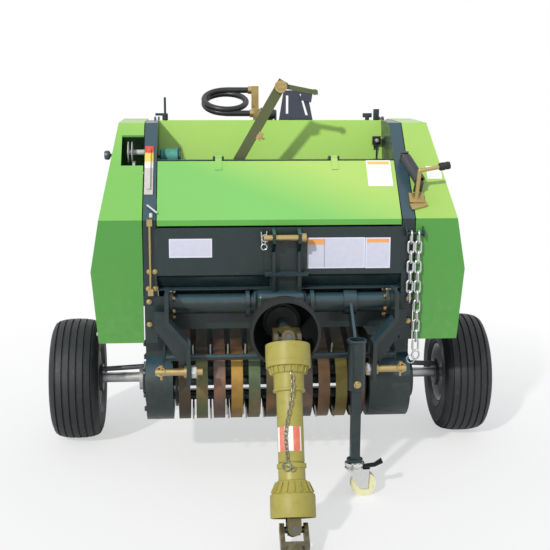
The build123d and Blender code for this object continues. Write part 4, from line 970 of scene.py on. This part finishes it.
for k in range(7):
    turn = math.radians(-35 + 45 * k)
    case_bolts.append(facing(on_circle((BOSS_X, REEL_Y, REEL_Z), BOSS_BOLT_R, turn), (-1, 0, 0), turn))
for k in range(4):
    spot = (BOSS_X, FRONT_Y + 0.085 + 0.045 * k, 0.415 - 0.01 * k)
    case_bolts.append(facing(spot, (-1, 0, 0), 0.3))
fixed(spread(small_bolt, "case_bolts", case_bolts), "baler", dark_steel, 30)
boss = turned("bearing_cover", [(0.5, 14), (18, 14), (20, 12), (40, 11), (52, 6), (64, 5), (66, 0.5)], 56,
              facing((BOSS_X - 0.0002, REEL_Y, REEL_Z), (-1, 0, 0)))
fixed(boss, "baler", frame_paint, 30)

# The stand: a pinned leg in its sleeve over a swivelling caster.  The caster
# has a chromed plate, a cream nylon wheel and a black foot pedal as its brake.
chrome = metal("chrome", (0.8, 0.8, 0.8), 0.14, stained=0.08)
cream_plastic = moulded("caster_cream", (0.74, 0.72, 0.44), (0.62, 0.58, 0.32), 0.32)
coat_nodes(chrome, "caster_fork", "ram_rod")
coat_nodes(cream_plastic, "caster_wheel")
LEG_X, LEG_Y = middle("stand_leg").xy
SLEEVE_TOP = 0.48
sleeve_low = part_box("stand_sleeve")[0]
stand_bolt = facing((LEG_X, sleeve_low.y - 0.0002, sleeve_low.z + 0.022), FORWARD, 0.2)
fixed(spread(small_bolt, "stand_bolt", [stand_bolt]), "baler", gold_zinc, 30)
discard(small_bolt)
rim_ring = turned("sleeve_rim", [(21.5, -6), (28.5, -6), (29.5, -4), (29.5, 0.5), (27.5, 2), (21.5, 2)], 48,
                  Matrix.Translation((LEG_X, LEG_Y, SLEEVE_TOP)), closed=True)
fixed(rim_ring, "baler", frame_paint, 35)
FORK_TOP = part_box("caster_fork")[1].z
swivel = turned("swivel_race",
                [(0.5, 11.5), (20, 11.5), (24.5, 8.5), (29, 6), (30.5, 1), (29, -4), (25.5, -6), (30, -9),
                 (30, -12.5), (23, -15), (0.5, -15)], 48,
                Matrix.Translation((LEG_X, LEG_Y, FORK_TOP - 0.004)))
fixed(swivel, "caster_fork", chrome, 35)

# The pedal is a flat black plate that widens and turns up towards its tip; a
# lug holds it to the fork.
clear_selection()
bpy.ops.mesh.primitive_cube_add(size=1)
bpy.ops.transform.resize(value=(0.058, 0.026, 0.0035))
edit()
bpy.ops.mesh.bevel(offset=0.0014, segments=2)
pick_all()
bpy.ops.mesh.bisect(plane_co=(0.006, 0, 0), plane_no=(1, 0, 0))
bpy.ops.mesh.select_all(action="DESELECT")
edit_done()
for vertex in bpy.context.object.data.vertices:
    vertex.select = vertex.co.x > 0.2
edit()
bpy.ops.transform.translate(value=(0, 0, 0.01))
bpy.ops.transform.resize(value=(1, 1.35, 1), center_override=(0, 0, 0))
edit_done()
pedal_at = Matrix.Translation((LEG_X + 0.054, LEG_Y - 0.006, FORK_TOP - 0.007))
pedal = settled("brake_pedal", pedal_at @ Matrix.Rotation(math.radians(-7), 4, "Y"))
lug = block("pedal_lug", (0.03, 0.014, 0.012), Vector((LEG_X + 0.03, LEG_Y - 0.004, FORK_TOP - 0.013)))
fixed(joined("caster_brake_pedal", [pedal, lug]), "caster_fork", guard_black, 35)

# Bale density: a close-wound spring and its crank on the right of the front
# frame, and a banded gauge on the left that shows the bale's tightness.
spring_steel = metal("spring_steel", (0.1, 0.105, 0.12), 0.38, stained=0.3, metallic=0.7)
spring_from, spring_to = on_slope(0.431, 0.118, 0.034), on_slope(0.397, 0.21, 0.034)
spring_length = (spring_to - spring_from).length
COILS = 22
pitch = spring_length * 1000 / COILS
coil_profile = [(13, 0)]
for k in range(COILS):
    for radius, share in ((16.6, 0.08), (18.1, 0.35), (18.1, 0.65), (16.6, 0.92)):
        coil_profile.append((radius, (k + share) * pitch))
coil_profile.append((13, COILS * pitch))
coils = turned("density_spring_coils", coil_profile, 32, facing(spring_from, spring_to - spring_from))
spring_way = (spring_to - spring_from).normalized()
guide = bar("spring_guide", spring_from - spring_way * 0.016, spring_to + spring_way * 0.022, 0.006)
slope_turn = Matrix.Rotation(math.atan2(SLOPE_ALONG.z, SLOPE_ALONG.y), 4, "X")
spring_set = [coils, guide]
for x, distance, width in ((0.427, 0.104, 0.026), (0.397, 0.224, 0.022)):
    end_at = Matrix.Translation(on_slope(x, distance, 0.0223)) @ slope_turn
    spring_set.append(block("spring_end", (width, 0.006, 0.044), end_at))
spring_set = joined("density_spring_set", spring_set)
fixed(spring_set, "baler", spring_steel, 35, ("density_spring",))
crank_foot, crank_top = on_slope(0.418, 0.066, 0.004), at(0.424, -0.39, 0.956)
crank_arm, crank_end = at(0.486, -0.39, 0.967), at(0.482, -0.39, 0.9665)
crank = [bar("crank_leg", crank_foot, crank_top, 0.0062), bar("crank_arm", crank_top, crank_arm, 0.0062)]
clear_selection()
bpy.ops.mesh.primitive_uv_sphere_add(segments=20, ring_count=12, radius=0.0064, location=crank_top)
crank.append(settled("crank_bend"))
base_at = Matrix.Translation(on_slope(0.42, 0.072, 0.0055)) @ slope_turn
crank.append(block("crank_base", (0.046, 0.036, 0.01), base_at))
plate_at = Matrix.Translation(on_slope(0.424, 0.047, 0.0045)) @ slope_turn @ Matrix.Rotation(0.3, 4, "Z")
crank.append(block("crank_plate", (0.052, 0.022, 0.006), plate_at))
fixed(joined("density_crank_handle", crank), "baler", gold_zinc, 35, ("density_crank",))
grip_way = (crank_arm - crank_top).normalized()
grip = turned("crank_grip",
              [(3, 0), (9.5, 0), (12, 3), (12.5, 12), (11.2, 20), (12.2, 28), (10.5, 34), (3, 36)], 28,
              facing(crank_end, grip_way))
fixed(grip, "baler", guard_black, 35)
gauge_low, gauge_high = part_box("density_gauge")
gauge_paint = Finish("gauge_bands")
gauge_share = gauge_paint.add("MapRange", {}, [gauge_paint.along("Z"), gauge_low.z, gauge_high.z, 0, 1])
gauge_scuffs = gauge_paint.patches(70, 4, 0.45, 0.75)
GAUGE_BANDS = [(0, (0.6, 0.58, 0.55)), (0.55, (0.86, 0.84, 0.78)), (0.68, (0.86, 0.66, 0.12)),
               (0.86, (0.7, 0.06, 0.04))]
gauge_tint = gauge_paint.bands(gauge_share, GAUGE_BANDS)
gauge_tint = gauge_paint.mix(gauge_scuffs * 0.35, gauge_tint, (0.42, 0.38, 0.3))
gauge_paint.set(gauge_tint, gauge_scuffs * 0.2 + 0.35)
coat_nodes(gauge_paint.owner, "density_gauge")

# The upper link's mast, painted with the frame: a plate with two ribs is
# welded under the link's ears and reaches down to the gearbox.
link_x, link_z = middle("top_link_bracket").x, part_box("top_link_bracket")[0].z
mast = [block("mast_plate", (0.096, 0.008, 0.064), Vector((link_x, FRONT_Y - 0.0085, link_z - 0.028)))]
for sign in (-1, 1):
    mast.append(block("mast_rib", (0.009, 0.03, 0.13),
                      Vector((link_x + sign * 0.038, FRONT_Y - 0.02, link_z + 0.006))))
fixed(joined("top_link_mast", mast), "baler", frame_paint, 35)

# Small controls: the tie-down levers on top of the frame, the latch that holds
# the hood, and the knob that shuts the left cover.
levers = [bar("left_rod", at(-0.35, 0.004, 1.0855), at(-0.35, 0.004, 1.16), 0.0038),
          bar("left_base", at(-0.35, 0.004, 1.0855), at(-0.35, 0.004, 1.106), 0.0095),
          block("left_cross", (0.04, 0.007, 0.008), at(-0.362, 0.004, 1.104)),
          bar("wing_stem", at(0.323, 0.004, 1.0855), at(0.323, 0.004, 1.1), 0.007),
          block("wing_nut", (0.03, 0.01, 0.014), at(0.323, 0.004, 1.101), 0.003),
          block("lever_block", (0.018, 0.014, 0.036), at(0.353, 0.004, 1.1035), 0.003)]
fixed(joined("top_levers", levers), "baler", frame_paint, 35, ("lever_knobs",))
latch_at = Vector((MID_X + 0.35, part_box("back_panel")[0].y + 0.0085, 1.02))
latch = [block("latch_plate", (0.028, 0.005, 0.028), latch_at, 0.002),
         bar("latch_rod", latch_at + Vector((0, -0.004, -0.012)), latch_at + Vector((0, -0.004, -0.06)),
             0.0022, 12),
         block("latch_foot", (0.018, 0.008, 0.004), latch_at + Vector((0, -0.003, -0.062)), 0.001)]
fixed(joined("hood_latch", latch), "baler", guard_black, 35)
latch_knob = turned("latch_knob", [(0.3, 16), (4, 16), (6.5, 14), (7, 8), (7, 2), (0.3, 2)], 24,
                    facing(latch_at, FORWARD))
fixed(latch_knob, "baler", bright_zinc, 35)
knob = turned("cover_knob", [(5, 0), (5, 18), (12, 20), (14.5, 24), (14.5, 32), (12, 37), (0.3, 38)], 28,
              facing(at(-0.498, -0.187, 0.987), (-1, 0, 0)))
fixed(knob, "baler", spring_steel, 35)

# The twine gear: a ball of teal twine on its peg, two light guide discs that
# show in the left cover's window, the olive arm and the tower behind it.
pale_disc = moulded("disc_nylon", (0.66, 0.68, 0.66), (0.45, 0.47, 0.46), 0.35)
discs = [bar("disc_shaft", at(-0.3768, -0.177, 0.995), at(-0.466, -0.177, 0.995), 0.0085)]
for x in (-0.447, -0.459):
    disc = turned("guide_disc", [(8, 0), (30, 0), (33.5, 0.6), (34, 1.8), (33, 3), (8, 3)], 48,
                  facing(at(x, -0.177, 0.995), (-1, 0, 0)), closed=True)
    discs.append(disc)
fixed(joined("twine_guide_discs", discs), "baler", pale_disc, 35)
teal = Finish("twine_teal")
teal_fibres = teal.patches(130, 6, 0.3, 0.7, 0.7)
teal_folds = teal.patches(28, 3, 0.35, 0.65)
teal_deep = teal.mix(teal_fibres, (0.03, 0.2, 0.155), (0.075, 0.36, 0.29))
teal_tint = teal.mix(teal_folds, teal_deep, (0.11, 0.42, 0.34))
teal.set(teal_tint, teal_fibres * 0.2 + 0.6, teal.bump(teal_fibres, 0.0008, 0.5))
ball_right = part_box("twine_ball")[1].x
ball_y, ball_z = middle("twine_ball").yz
ball_z += 0.003
wound = turned("wound_twine",
               [(8, 0), (19, 1), (23.5, 4), (22, 11), (24.5, 19), (22.8, 28), (24.8, 38), (23.5, 48),
                (25, 56), (21.5, 60), (8, 60.5)], 40, facing((ball_right - 0.064, ball_y, ball_z), (1, 0, 0)))
fixed(wound, "baler", teal.owner, 50, ("twine_ball",))
peg_end = Vector((ball_right + 0.002, ball_y, ball_z))
peg = [bar("peg", Vector((MID_X - 0.3695, ball_y, ball_z)), peg_end, 0.007)]
end_disc = turned("peg_disc", [(6, 0), (25, 0), (27, 1), (27, 4), (25, 6), (6, 6)], 40,
                  facing((ball_right - 0.004, ball_y, ball_z), (1, 0, 0)), closed=True)
peg.append(end_disc)
fixed(joined("twine_peg", peg), "baler", dark_steel, 35)
olive_paint = paint("arm_olive", (0.085, 0.105, 0.028), dust=0.2)
coat_nodes(olive_paint, "twine_arm")
tower_paint = paint("tower_paint", (0.04, 0.048, 0.075), dust=0.2)
coat_nodes(tower_paint, "twine_tower")
black_paint = paint("black_enamel", (0.014, 0.014, 0.015), dust=0.3)
coat_nodes(black_paint, "ram_barrel", "twine_arm_bracket")
clip_block_at = Matrix.Translation(at(-0.049, -0.205, 1.047)) @ Matrix.Rotation(math.radians(30), 4, "Y")
arm_clip = [block("clip_block", (0.016, 0.012, 0.026), clip_block_at),
            bar("clip_bolt", at(-0.058, -0.207, 1.051), at(-0.034, -0.207, 1.038), 0.0035, 12)]
fixed(joined("arm_clip", arm_clip), "twine_arm", gold_zinc, 35)

# The check chain hangs from a rod in its hook; bright zinc links, with a
# shackle at the lower end that meets the link pin.
coat_nodes(bright_zinc, "check_chain")
coat_nodes(frame_paint, "chain_hook")
chain_low, chain_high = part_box("check_chain")
shackle_at = Vector((chain_high.x - 0.01, middle("check_chain").y, chain_low.z - 0.01))
shackle = [ring("shackle_bow", 0.0135, 0.003, facing(shackle_at, (0.5, -1, 0.1))),
           ring("shackle_ring", 0.012, 0.0014,
                facing(shackle_at + Vector((-0.016, -0.004, -0.012)), (-0.3, -1, 0.3)))]
fixed(joined("chain_shackle", shackle), "baler", bright_zinc, 35)
wire_hook = [bar("hook_wire", on_slope(-0.366, 0.022, 0.007), on_slope(-0.396, 0.052, 0.007), 0.0028, 12),
             bar("hook_stem", on_slope(-0.384, 0.004, 0.007), on_slope(-0.384, 0.018, 0.009), 0.005, 14)]
fixed(joined("pull_rod_hook", wire_hook), "baler", pale_disc, 35)
